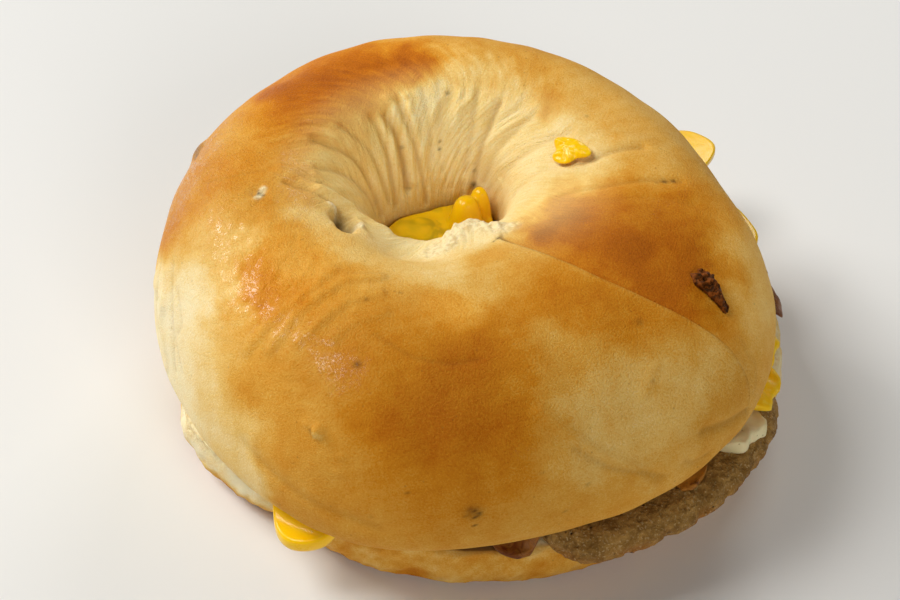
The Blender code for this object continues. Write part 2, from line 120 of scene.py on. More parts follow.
CHEESE_LUMPS = ((0.4, 15.0, 2.9, 6.0), (3.1, 18.0, 2.4, 5.8))
CHEESE_HOLE_RINGS = 40

# Marks on the crust are (angle, sweep). The sweep is -90 at the rim, 0 at the widest ring, 90 at the
# crown and 180 at the throat. Browning runs from 0, cream, to 1, dark brown, over a size in millimetres.
BROWNING = (
    # left side, cream
    (-169, 13, 9, 0.02), (-159, 5, 9, 0.05), (-141, 8, 8, 0.24), (-133, 6, 6, 0.26), (-164, 34, 7, 0.08),
    # left shoulder, golden
    (-136, 36, 7, 0.50), (-122, 29, 7, 0.52), (-117, 6, 6, 0.54), (-147, 30, 6, 0.25),
    # upper left, orange
    (179, 48, 7, 0.68), (172, 61, 6, 0.62), (158, 75, 6, 0.52), (-178, 88, 8, 0.60), (-169, 60, 7, 0.36),
    (160, 40, 8, 0.62), (146, 94, 7, 0.82), (168, 106, 6, 0.68),
    # top left, dark brown
    (133, 88, 7, 1.04), (120, 92, 6, 0.98), (111, 96, 4, 0.90), (102, 95, 4.5, 1.25), (120, 70, 8, 0.72),
    (142, 108, 6, 0.72), (122, 106, 5, 0.78), (93, 92, 4, 0.56),
    # top, pale gold
    (86, 86, 7, 0.42), (70, 88, 8, 0.58), (47, 107, 3, 1.05), (50, 85, 8, 0.46), (24, 95, 7, 0.46),
    # right, dark patches beyond the seam
    (-26, 119, 5, 0.84), (-33, 110, 5, 1.04), (-36, 96, 5, 0.72), (-31, 84, 5, 0.93), (-15, 74, 6, 0.82),
    (-25, 64, 6, 0.73), (-12, 88, 6, 0.57), (-24, 97, 6, 0.76), (-5, 58, 6, 0.64), (-31, 62, 5, 0.86),
    (4, 86, 5, 0.44),
    # right edge, pale tan
    (4, 62, 6, 0.50), (-10, 44, 7, 0.40), (-22, 34, 7, 0.36), (-28, 18, 8, 0.47), (-32, 46, 5, 0.57),
    # below the seam
    (-64, 100, 6, 0.54), (-58, 86, 6, 0.68), (-53, 72, 6, 0.70), (-45, 58, 6, 0.71),
    # front middle, deep orange-brown
    (-100, 72, 8, 0.63), (-88, 60, 8, 0.78), (-78, 55, 8, 0.71), (-92, 42, 9, 0.80), (-80, 40, 8, 0.72),
    (-90, 24, 9, 0.73), (-67, 60, 6, 0.42), (-69, 34, 7, 0.28),
    # near lip, pale
    (-108, 113, 5, 0.34), (-95, 106, 5, 0.25), (-84, 100, 5, 0.30), (-74, 104, 5, 0.50), (-88, 86, 5, 0.55),
    (-130, 106, 6, 0.34), (-92, 122, 5, 0.26), (-118, 120, 5, 0.26),
    # left of the lip
    (-139, 88, 6, 0.55), (-141, 76, 5, 0.69), (-122, 82, 6, 0.60), (-112, 90, 6, 0.51), (-112, 62, 6, 0.64),
    (-124, 52, 7, 0.54),
    # front right, pale olive
    (-58, 46, 7, 0.45), (-60, 32, 8, 0.26), (-46, 38, 7, 0.25), (-41, 24, 7, 0.52), (-52, 16, 7, 0.50),
    (-66, 10, 8, 0.54),
    # knob at the front left
    (-115, 36, 1.2, -0.10),
    # front low
    (-110, 2, 8, 0.54), (-98, 12, 8, 0.54), (-84, -2, 9, 0.48), (-84, 12, 8, 0.58),
    # inside the hole, cream
    (107, 132, 8, 0.12), (70, 120, 8, 0.14), (40, 125, 8, 0.14), (10, 125, 8, 0.16), (-20, 132, 5, 0.36),
    (150, 128, 8, 0.36), (180, 126, 7, 0.28), (-150, 126, 6, 0.26), (-100, 135, 6, 0.14),
    (100, 165, 9, 0.16), (-70, 150, 9, 0.15), (0, 160, 9, 0.14), (180, 160, 9, 0.22),
    # far side, out of the photograph's sight
    (90, 45, 12, 0.50), (130, 40, 10, 0.60), (60, 40, 10, 0.48), (28, 40, 10, 0.42), (100, 5, 14, 0.38),
    (45, 0, 14, 0.34), (150, 5, 12, 0.34), (0, 15, 10, 0.34),
)
PLAIN_BROWNING = 0.44
PLAIN_BROWNING_WEIGHT = 0.03

# Painted light and shade: how much lighter or darker the crust is painted than its browning, lighter on lit
# parts and darker on shaded ones: angle, sweep, size, factor
LIGHT_AND_SHADE_FACTORS = (
    (-88, 52, 15, 0.76), (-84, 26, 14, 0.80), (-66, 44, 10, 0.78), (-48, 66, 9, 0.80), (-40, 30, 10, 0.88),
    (-26, 76, 9, 0.84), (-30, 60, 7, 0.80), (-110, 66, 8, 0.88), (-108, 14, 10, 0.94),
    (120, 92, 11, 1.26), (102, 95, 7, 1.28), (140, 98, 10, 1.20), (165, 108, 9, 1.15), (-28, 118, 6, 1.20),
    (-10, 40, 9, 1.25), (-24, 26, 9, 1.22), (110, 145, 12, 1.10), (60, 140, 12, 1.06),
    (-139, 82, 9, 1.18), (-88, 86, 4, 1.15),
)
PLAIN_LIGHT_FACTOR = 1.0
PLAIN_LIGHT_WEIGHT = 0.25

# Ridges and creases of the crust: marks along the line, height, width and how dark the painted shade on its
# shaded side is
FOLD_LINES = (
    # left of the hole: long crease, the fold below it and the flap over the pit
    (((173, 62), (177, 78), (179, 94)), -0.14, 0.4, 0.16),
    (((180, 100), (-176, 108), (-169, 117), (-161, 126), (-154, 133)), 0.40, 0.9, 0.00),
    (((-167, 119), (-161, 126), (-154, 133), (-142, 138), (-128, 141)), 0.85, 1.2, 0.00),
    (((177, 100), (-179, 110), (-172, 121), (-166, 131)), 0.30, 0.5, 0.10),
    (((-178, 96), (-172, 106), (-164, 116)), 0.22, 0.5, 0.08),
    (((-173, 102), (-166, 114), (-160, 121), (-153, 127), (-147, 131)), -0.45, 0.5, 0.40),
    (((-170, 122), (-164, 132), (-164, 146)), -0.70, 0.8, 0.30),
    (((-178, 118), (-172, 130), (-176, 150)), 0.45, 0.8, 0.00),
    (((-141, 131), (-135, 125), (-130, 124)), 0.35, 0.8, 0.10),
    # folds of the wall, round the hole
    (((176, 120), (171, 140), (172, 166)), -0.60, 0.8, 0.30),
    (((160, 112), (158, 134), (163, 156), (166, 172)), -0.70, 0.9, 0.35),
    (((146, 118), (145, 134), (150, 152), (153, 168)), -0.55, 0.8, 0.30),
    (((129, 122), (134, 141), (142, 157), (146, 172)), -0.80, 0.8, 0.40),
    (((118, 116), (116, 132), (118, 148), (122, 162)), 0.50, 0.9, 0.00),
    (((123, 124), (122, 136), (126, 150), (130, 166)), -1.10, 0.9, 0.60),
    (((109, 118), (108, 139), (107, 157), (104, 178)), 0.55, 0.8, 0.00),
    (((113, 120), (112, 141), (111, 157), (108, 176)), -0.55, 0.7, 0.35),
    (((100, 116), (99, 136), (97, 152)), -0.22, 0.7, 0.12),
    (((92, 112), (91, 130), (90, 160)), -0.25, 0.7, 0.12),
    (((82, 118), (80, 140), (78, 166)), 0.25, 0.8, 0.00),
    (((74, 116), (70, 136), (66, 160)), -0.40, 0.8, 0.20),
    (((61, 120), (59, 140), (57, 160), (54, 174)), -0.65, 0.8, 0.35),
    (((42, 118), (44, 138), (48, 164)), -0.45, 0.9, 0.15),
    (((22, 112), (25, 132), (30, 156)), -0.40, 0.9, 0.12),
    (((5, 116), (6, 134), (8, 156)), -0.30, 0.8, 0.10),
    # right side
    (((-32, 34), (-32, 27), (-31, 19), (-32, 10)), 0.20, 0.8, 0.08),
    (((-51, 48), (-53, 44), (-55, 40)), 0.16, 0.8, 0.00),
    (((-74, 46), (-70, 36), (-65, 24), (-60, 14), (-57, 2)), 0.42, 1.2, 0.06),
    (((-69, 30), (-64, 18), (-58, 10), (-54, 2)), -0.45, 0.7, 0.25),
    (((-46, 14), (-40, 8), (-34, 3)), -0.70, 1.0, 0.30),
    (((-50, 4), (-44, -8)), -0.45, 1.0, 0.20),
    (((-17, 122), (-12, 106), (-5, 86), (-2, 74)), -0.35, 0.9, 0.25),
    (((3, 113), (7, 99), (10, 85)), -0.55, 1.0, 0.28),
    (((-20, 104), (-13, 88), (-9, 70)), -0.20, 1.4, 0.08),
    (((20, 104), (17, 88), (14, 70)), -0.16, 1.6, 0.04),
    # left shoulder: soft rings of wrinkled skin
    (((-137, 48), (-134, 64), (-130, 80), (-127, 92)), 0.40, 1.1, 0.08),
    (((-131, 54), (-129, 71), (-126, 83), (-121, 93), (-112, 99)), 0.38, 1.0, 0.10),
    (((-125, 62), (-122, 74), (-118, 85), (-110, 91)), 0.32, 0.9, 0.08),
    (((-118, 68), (-114, 78), (-107, 84)), 0.22, 0.9, 0.05),
    (((-107, 75), (-98, 69), (-90, 67), (-84, 68)), -0.16, 0.6, 0.18),
    (((-130, 20), (-128, 2), (-127, -32)), 0.20, 1.0, 0.03),
    # lower edge at the front left, and the soft crease above it
    (((-132, 14), (-118, 8), (-110, 6), (-103, 3)), -0.30, 1.5, 0.14),
    # pale left edge
    (((-172, 40), (-167, 30), (-163, 20), (-160, 8)), -0.45, 0.7, 0.16),
    (((-178, 30), (-174, 24), (-175, 16), (-172, 8)), -0.45, 0.6, 0.16),
    (((-173, 34), (-169, 25), (-170, 16), (-166, 8)), 0.45, 0.9, 0.00),
    (((-166, 36), (-160, 28), (-162, 20), (-156, 12)), -0.30, 0.5, 0.14),
    (((-170, 10), (-165, 2), (-166, -8)), -0.30, 0.6, 0.12),
    (((-176, 27), (-172, 24)), 0.45, 0.8, 0.00),
)

# Small bumps and pits: angle, sweep, size in millimetres, height
BUMPS = (
    (-115, 36, 1.1, 1.40), (-117.5, 37, 0.7, 0.60), (-110, 30, 0.7, 0.32), (-110, 23, 0.7, 0.28),
    (-144, 122.5, 2.2, -4.20), (-149, 126, 1.5, -2.20), (-139, 118, 1.5, -1.90), (-172, 89, 1.5, -0.55),
    (154, 41, 2.2, 0.60), (-178, 21, 2.2, 0.50), (-170, 24, 1.8, 0.40), (-87, 11, 0.8, -0.20),
    (-91, 148, 0.9, -0.40), (91, 146, 0.7, -0.35), (88, 118, 0.6, -0.25), (107, 128, 0.5, -0.25),
    (-106, 117, 8.5, -1.30), (-80, 119, 7.0, -0.80), (-106, 129, 5.5, -1.60), (18, 12, 13.0, -1.10),
    (22, -30, 12.0, -1.00), (-82, 137, 2.4, 0.70), (-68, 140, 3.2, 1.70), (-58, 132, 2.4, 0.90),
)

# Dark specks in the crust, and painted shade in its pits, slits and cracks: angle, sweep, size, darkness
DARK_SPECKS_AND_PIT_SHADE = (
    (-110, 63, 0.60, 0.70), (-113, 87, 0.40, 0.50), (-87, 11, 1.35, 0.50), (-87.1, 11.6, 0.55, 1.0),
    (-86.2, 10.2, 0.45, 1.0), (-87.9, 12.8, 0.40, 0.95), (-86.9, 8.8, 0.36, 0.9), (-85.7, 12.6, 0.34, 0.8),
    (-88.2, 9.8, 0.30, 0.8), (-86.9, 4.8, 0.26, 0.8), (-144, 122.5, 1.9, 0.92), (-149, 126, 1.2, 0.80),
    (-139, 118, 0.8, 0.50), (-48, 64, 0.7, 0.35), (155, 43, 1.6, 0.60), (157, 44, 0.8, 0.80),
    (154, 41, 1.0, 0.60), (-171.4, 89, 0.45, 0.90), (-170.0, 90.5, 0.35, 0.8), (-173, 89.4, 0.3, 0.7),
    (91, 148, 0.30, 0.80), (91, 144, 0.25, 0.70), (122, 143, 0.3, 0.50), (-4, 81, 0.5, 0.85),
    (-2.6, 77, 0.4, 0.85), (-5.5, 84, 0.3, 0.6), (-62, 121, 0.45, 0.90), (-65, 120, 0.3, 0.6),
    (56, 168, 0.7, 0.60), (58, 160, 0.4, 0.35), (-75, 24, 0.25, 0.5), (-68, 14, 0.25, 0.5),
    (-98, 20, 0.22, 0.5), (-72, 4, 0.25, 0.5), (88, 118, 0.4, 0.5), (-52, 44, 0.3, 0.35),
    (126, 166, 0.3, 0.4), (-119, 20, 0.25, 0.4), (-104, 93, 0.3, 0.5), (28, 99, 0.3, 0.4),
    (-104, 8, 0.3, 0.35), (-116.4, 35.0, 0.35, 0.5), (-50, 30, 0.25, 0.4), (-63, 26, 0.25, 0.4),
)

# Torn dough without crust: marks along it and its width
TORN_LINES = (
    (((-92, 131), (-82, 136), (-70, 140), (-60, 134), (-54, 128)), 2.9),
    (((-158, 121), (-152, 124)), 0.6),
    (((-169.5, 88), (-172.5, 91)), 0.7),
    (((-139, 129), (-135, 125)), 0.7),
)

# Gloss of the crust: angle, sweep, size, amount
GLOSSES = (
    (165, 62, 20, 1.30), (160, 40, 16, 1.20), (-172, 78, 15, 1.25), (-150, 62, 13, 1.05),
    (-141, 74, 10, 1.20), (-116, 62, 8, 0.95), (-128, 66, 8, 0.85), (140, 88, 14, 1.00),
    (-57, 106, 6, 0.90), (-32, 104, 8, 0.80), (-100, 100, 7, 0.55), (-160, 24, 9, 0.45),
    (100, 118, 14, 0.60), (60, 115, 12, 0.65), (20, 112, 12, 0.55), (-92, 48, 10, 0.40),
)

# Soft unevenness in layers of (height, size, seed), in millimetres
TOP_SWELLS = ((0.14, 24.0, 3), (0.06, 8.0, 4))
TORN_SWELLS = ((0.16, 3.0, 21), (0.11, 1.2, 22))
BROWNING_CLOUDS = ((0.02, 9.0, 31), (0.012, 3.0, 32))
BOTTOM_SWELLS = ((0.28, 9.0, 41), (0.14, 3.0, 42))
BOTTOM_CLOUDS = ((0.05, 7.0, 44), (0.04, 2.5, 45))
PATTY_SWELLS = ((0.22, 5.0, 51), (0.20, 2.2, 52), (0.12, 1.1, 53))
EGG_FLAP_SWELLS = ((0.45, 4.0, 81), (0.2, 1.6, 82))
CHEESE_POOL_SWELLS = ((0.22, 9.0, 91), (0.06, 3.0, 92))
CHEESE_EDGE_SWELLS = ((0.35, 4.5, 93), (0.14, 1.8, 94))
FINE_TERMS = 24

# How far the uneven sides keep inside the part's, in millimetres
BOTTOM_INSET = 0.58
PATTY_INSET = 0.35

# Lights as (name, azimuth, elevation, power in watts), camera and table, in metres and degrees
LIGHTS = (
    ("window_left", 150.0, 30.0, 11.0),
    ("window_high", 188.0, 60.0, 9.2),
    ("front_fill", 290.0, 30.0, 5.6),
    ("back_fill", 70.0, 30.0, 4.6),
)
LIGHT_DISTANCE = 1.40
LIGHT_SIZE = 0.54
LIGHT_TARGET = (0.0, 0.0, 0.02)
DAYLIGHT = (1.0, 1.0, 0.985)
WORLD_STRENGTH = 0.07
TABLE_WIDTH = 5.0
CAMERA_LENS = 90.0
CAMERA_SENSOR = 36.0
CAMERA_ELEVATION = 44.0
CAMERA_DISTANCE = 0.410
CAMERA_TARGET = (-0.0044, 0.0022, 0.024)

# Mesh of the top half and the place of its strand patterns
TOP_COLUMNS = 456
STRAND_CROWN = 33.0
STRAND_PER_SWEEP = 0.09
FACE_BROWNING = 0.05


def wave_sum(angle, waves):
    """Sum of height * cos(count * (angle - phase)) over the waves."""
    total = np.zeros_like(angle)
    for count, height, phase in waves:
        total = total + height * np.cos(count * np.radians(angle - phase))
    return total


def smooth_step(low, high, value):
    """0 below low, 1 above high and 3t^2 - 2t^3 between them."""
    t = np.clip((value - low) / (high - low), 0.0, 1.0)
    return t * t * (3.0 - 2.0 * t)


def turn_from(angle, centre):
    """Signed angle from centre to angle, between -180 and 180."""
    return (angle - centre + 180.0) % 360.0 - 180.0


def bell(angle, centre, width, power=2):
    """exp(-|turn / width|^power) of the turn between two angles."""
    return np.exp(-np.abs(turn_from(angle, centre) / width) ** power)


def ring(centre, radius, angle):
    """Plan points at a radius round a centre."""
    x = centre[0] + radius * np.cos(np.radians(angle))
    y = centre[1] + radius * np.sin(np.radians(angle))
    return x, y


def round_steps(count):
    """Angles of a closed ring."""
    return np.arange(count) * 360.0 / count


def wander(points, size, seed, terms=14):
    """Soft noise of a place: the sum of sines along random directions, times sqrt(2 / terms).

    Wave lengths run from 0.7 to 1.6 times the size, and the result's spread is about 1.
    """
    chance = np.random.default_rng(seed)
    total = np.zeros(points.shape[:-1])
    for _ in range(terms):
        direction = chance.normal(size=3)
        direction /= np.linalg.norm(direction)
        length = size * chance.uniform(0.7, 1.6)
        total += np.sin(points @ direction * 2.0 * np.pi / length + chance.uniform(0.0, 2.0 * np.pi))
    return total * np.sqrt(2.0 / terms)


def swells(points, layers):
    """Sum of height * soft noise over layers of (height, size, seed)."""
    return sum(height * wander(points, size, seed) for height, size, seed in layers)


def fine_wander(points, size, seed):
    """Soft noise of more waves, for strands and fine wrinkles."""
    return wander(points, size, seed, FINE_TERMS)


def rim_height(x, y):
    """The leaning plane of the top half's lower rim."""
    uphill = np.radians(RIM_UPHILL)
    return RIM_HEIGHT + RIM_SLOPE * (x * np.cos(uphill) + y * np.sin(uphill))


def cut_height(x, y):
    """Underside of the top half: level over the filling, then falling in an S to the leaning rim."""
    fall = smooth_step(FILLED_RADIUS, RIM_RADIUS, np.hypot(x, y))
    return FILLED_HEIGHT + (rim_height(x, y) - FILLED_HEIGHT) * fall


def seam_curl(sweep):
    """Turn of the seam and the mesh columns: -curl * (sweep - start)^2, undone in the throat."""
    past = np.clip(sweep, SEAM_CURL_FROM, SEAM_CURL_TO) - SEAM_CURL_FROM
    return -SEAM_CURL * past ** 2 * smooth_step(182.0, 100.0, sweep)


def smooth_top(angle, sweep):
    """Top half without its folds, as points (x, y, z).

    The plan point lies on the straight line from the hole's ring to the widest ring, halfway at the
    crown. Both sides of the section are quarters of a superellipse, and below 0 it turns under.
    """
    turn = np.radians(sweep)
    outer_x, outer_y = ring(TOP_CENTRE, TOP_RADIUS + wave_sum(angle, TOP_WAVES), angle)
    inner_x, inner_y = ring(HOLE_CENTRE, HOLE_RADIUS + wave_sum(angle, HOLE_WAVES), angle)
    width = np.hypot(outer_x - inner_x, outer_y - inner_y)
    across = np.abs(np.cos(turn))
    up = np.abs(np.sin(turn))
    share = np.where(sweep <= 90.0, 0.5 + 0.5 * across ** (2.0 / OUTER_FULLNESS),
                     0.5 - 0.5 * across ** (2.0 / INNER_FULLNESS))
    share = np.where(sweep < 0.0, 1.0 - CRUST_TURN_UNDER / width * (1.0 - across), share)
    x = inner_x + share * (outer_x - inner_x)
    y = inner_y + share * (outer_y - inner_y)
    crown = CROWN_HEIGHT + CROWN_LEAN * x
    widest = rim_height(x, y) + RIM_TO_WIDEST
    z = np.where(sweep <= 90.0, widest + (crown - widest) * up ** (2.0 / OUTER_FULLNESS),
                 THROAT_HEIGHT + (crown - THROAT_HEIGHT) * up ** (2.0 / INNER_FULLNESS))
    z = np.where(sweep < 0.0, widest - RIM_TO_WIDEST * up, z)
    return np.stack([x, y, z], axis=-1)


def top_normal(angle, sweep):
    """Outward normal of the smooth top, from its two tangents."""
    step = 0.5
    around = smooth_top(angle + step, sweep) - smooth_top(angle - step, sweep)
    over = smooth_top(angle, sweep + step) - smooth_top(angle, sweep - step)
    normal = np.cross(around, over)
    return normal / np.maximum(np.linalg.norm(normal, axis=-1, keepdims=True), 1e-12)


def mark(angle, sweep):
    """Point of the smooth top at a mark."""
    return smooth_top(np.array(float(angle)), np.array(float(sweep)))


def seam_relief(angle, sweep):
    """The seam: proud on its near side, a trough just beyond it, fading at both ends."""
    turn = turn_from(angle, SEAM_START + seam_curl(sweep))
    near = np.exp(np.minimum(turn, 0.0) / 20.0) * (turn < 0.1)
    far = -0.45 * np.exp(-np.maximum(turn, 0.0) / 12.0) * (turn >= 0.1)
    along = smooth_step(-10.0, 25.0, sweep) * smooth_step(128.0, 96.0, sweep)
    return SEAM_HEIGHT * (near + far) * along


def line_distance(points, marks):
    """Distance from each point to a line drawn over the crust through its marks."""
    marks = np.array(marks, dtype=float)
    turned = marks[0, 0] + turn_from(marks[:, 0], marks[0, 0])
    steps = np.linspace(0.0, len(marks) - 1.0, 6 * len(marks))
    place = np.arange(len(marks))
    path = smooth_top(np.interp(steps, place, turned), np.interp(steps, place, marks[:, 1]))
    least = np.full(points.shape[:-1], 1e9)
    for start, end in zip(path[:-1], path[1:]):
        run = end - start
        share = np.clip((points - start) @ run / max(run @ run, 1e-9), 0.0, 1.0)
        gap = np.linalg.norm(points - start - share[..., None] * run, axis=-1)
        least = np.minimum(least, gap)
    return least


def near_spot(points, angle, sweep, size, power=2):
    """exp(-(distance / size)^power) round a mark."""
    return np.exp(-(np.linalg.norm(points - mark(angle, sweep), axis=-1) / size) ** power)


def spot_mean(points, spots, plain, plain_weight):
    """Mean of the spots' amounts, weighted by exp(-(distance / size)^2), with a little of a plain one."""
    weight = np.full(points.shape[:-1], plain_weight)
    total = weight * plain
    for angle, sweep, size, amount in spots:
        share = near_spot(points, angle, sweep, size)
        weight = weight + share
        total = total + share * amount
    return total / weight


def spot_most(points, spots):
    """Greatest of the spots' amount * exp(-(distance / size)^2)."""
    most = np.zeros(points.shape[:-1])
    for angle, sweep, size, amount in spots:
        most = np.maximum(most, amount * near_spot(points, angle, sweep, size))
    return most


def streaked(points):
    """Places pushed about by soft noise, so that patches have streaky edges."""
    push = [swells(points, ((1.0, 7.0, 71 + part), (0.35, 2.6, 74 + part))) for part in range(3)]
    return points + np.stack(push, axis=-1)


def fold_relief(points):
    """Height of the folds, height * exp(-(distance / width)^2), and the painted shade of their creases.

    A trough's painted shade is darkest along its line and a ridge's is darkest beside it.
    """
    relief = np.zeros(points.shape[:-1])
    painted_shade_and_stain = np.zeros(points.shape[:-1])
    for marks, height, width, shade in FOLD_LINES:
        gap = line_distance(points, marks)
        relief = relief + height * np.exp(-(gap / width) ** 2)
        beside = gap if height < 0.0 else np.abs(gap - 1.1 * width)
        painted_shade_and_stain = np.maximum(painted_shade_and_stain, shade * np.exp(-(beside / (0.6 * width)) ** 2))
    return relief, painted_shade_and_stain


def torn_level(points):
    """Greatest of exp(-(distance / width)^4) beside the torn lines."""
    torn = np.zeros(points.shape[:-1])
    for marks, width in TORN_LINES:
        torn = np.maximum(torn, np.exp(-(line_distance(points, marks) / width) ** 4))
    return torn


def top_crust():
    """Points and surface marks of the top half: crust from rim to throat, then the cut face.

    Points are the smooth top plus seam, folds, bumps, strands and a soft unevenness along its normal.
    """
    column = round_steps(TOP_COLUMNS)
    sweeps = np.concatenate([np.linspace(-90.0, 0.0, 15)[:-1], np.linspace(0.0, 90.0, 95)[:-1],
                             np.linspace(90.0, 180.0, 97)])
    column, sweep = np.meshgrid(column, sweeps)
    angle = column + seam_curl(sweep)
    points = smooth_top(angle, sweep)
    normal = top_normal(angle, sweep)
    strand = strand_place(column, sweep)
    settle = smooth_step(-85.0, -50.0, sweep) * smooth_step(181.0, 172.0, sweep)

    folds, painted_shade_and_stain = fold_relief(points)
    relief = seam_relief(angle, sweep) + swells(points, TOP_SWELLS) + folds
    relief = relief - 0.32 * smooth_step(45.0, 12.0, sweep)
    for at_angle, at_sweep, size, height in BUMPS:
        relief = relief + height * near_spot(points, at_angle, at_sweep, size, 3)
    lip = bell(angle, -100.0, 52.0, 4) * smooth_step(135.0, 118.0, sweep)
    inner = smooth_step(92.0, 125.0, sweep) * (1.0 - 0.9 * lip)
    patchy = np.clip(0.6 + 0.6 * wander(points, 9.0, 14), 0.1, 1.4)
    pull = patchy * (0.05 * fine_wander(strand, 2.4, 12) + 0.04 * fine_wander(strand, 1.5, 13))
    pull = pull + 0.12 * fine_wander(strand, 6.0, 11)
    far_folds = bell(angle, 110.0, 65.0, 4)
    torn = torn_level(points)
    relief = relief + inner * (0.5 + 0.5 * far_folds) * (1.0 - torn) * pull
    outer_folds = smooth_step(66.0, 98.0, sweep) * (1.0 - inner) * (0.25 + 0.75 * far_folds)
    relief = relief + 0.035 * patchy * outer_folds * fine_wander(strand, 1.7, 15)
    relief = relief + torn * (0.30 + swells(points, TORN_SWELLS))
    aside = (np.abs(turn_from(angle, -142.0)) / 34.0) ** 4 + (np.abs(sweep - 70.0) / 32.0) ** 4
    relief = relief + 0.05 * np.exp(-aside) * fine_wander(points, 2.0, 23)

    turn = turn_from(angle, SEAM_START + seam_curl(sweep))
    beyond = np.radians(turn) * np.hypot(points[..., 0] - HOLE_CENTRE[0], points[..., 1] - HOLE_CENTRE[1])
    # painted shade: a thin dark line in the crevice just beyond where the seam's near side overlaps
    seam_shade = np.exp(-((beyond - 0.30) / 0.45) ** 2)
    seam_shade = seam_shade * (0.40 + 0.50 * smooth_step(70.0, 105.0, sweep))
    seam_shade = seam_shade * smooth_step(0.0, 30.0, sweep) * smooth_step(128.0, 118.0, sweep)

    browning = spot_mean(streaked(points), BROWNING, PLAIN_BROWNING, PLAIN_BROWNING_WEIGHT)
    browning = browning + swells(points, BROWNING_CLOUDS)
    browning = browning + 0.035 * smooth_step(66.0, 96.0, sweep) * far_folds * fine_wander(strand, 1.5, 33)
    overlap = smooth_step(35.0, 60.0, sweep) * smooth_step(122.0, 112.0, sweep)
    darker_beyond = 0.14 * np.exp(-np.maximum(beyond, 0.0) / 4.0) * (beyond > 0.0)
    paler_before = 0.10 * np.exp(np.minimum(beyond, 0.0) / 2.5) * (beyond <= 0.0)
    browning = browning + overlap * (darker_beyond - paler_before)
    skin_marks = {
        "browning": (browning, FACE_BROWNING),
        # painted light and shade, as a factor on the colour
        "painted_light_and_shade": (spot_mean(points, LIGHT_AND_SHADE_FACTORS, PLAIN_LIGHT_FACTOR, PLAIN_LIGHT_WEIGHT), 1.0),
        "torn": (torn, 1.0),
        # painted shade in the creases and in the seam's crevice
        "painted_shade_and_stain": (np.maximum(painted_shade_and_stain, seam_shade), 0.0),
        # dark specks, and painted shade in pits, slits and cracks
        "dark": (spot_most(points, DARK_SPECKS_AND_PIT_SHADE), 0.0),
        "gloss": (spot_most(points, GLOSSES), 0.0),
        "inner": (inner, 0.0),
    }

    points = points + (relief * settle)[..., None] * normal
    edge = points[-1].copy()
    edge[:, 2] = FILLED_HEIGHT
    face = []
    for share in np.linspace(0.0, 1.0, 11)[:-1]:
        row = edge + share * (points[0] - edge)
        row[:, 2] = cut_height(row[:, 0], row[:, 1])
        face.append(row)
    face = np.array(face)
    count = len(face)
    marks = {name: np.concatenate([skin, np.full((count, TOP_COLUMNS), inside)])
             for name, (skin, inside) in skin_marks.items()}
    marks["strand"] = np.concatenate([strand, strand_place(column[:count], sweep[:count] + 300.0)])
    return np.concatenate([points, face]), marks


def level_ring(centre, radius, angle, height=0.0):
    """Points of a ring at one height."""
    x, y = ring(centre, radius, angle)
    return np.stack([x, y, height + 0.0 * x], axis=-1)


def outward(angle):
    """Level unit vectors at the angles."""
    return level_ring((0.0, 0.0), 1.0, angle)


def strand_place(column, sweep):
    """Place for strand patterns: millimetres round the crown, and a smaller step for each degree over it."""
    around = STRAND_CROWN * outward(column)
    around[..., 2] = STRAND_PER_SWEEP * sweep
    return around


def bottom_radius(angle):
    """Outline of the bottom half: its waves, less its dents."""
    radius = BOTTOM_RADIUS + wave_sum(angle, BOTTOM_WAVES)
    for centre, depth, width in BOTTOM_DENTS:
        radius = radius - depth * bell(angle, centre, width)
    return radius


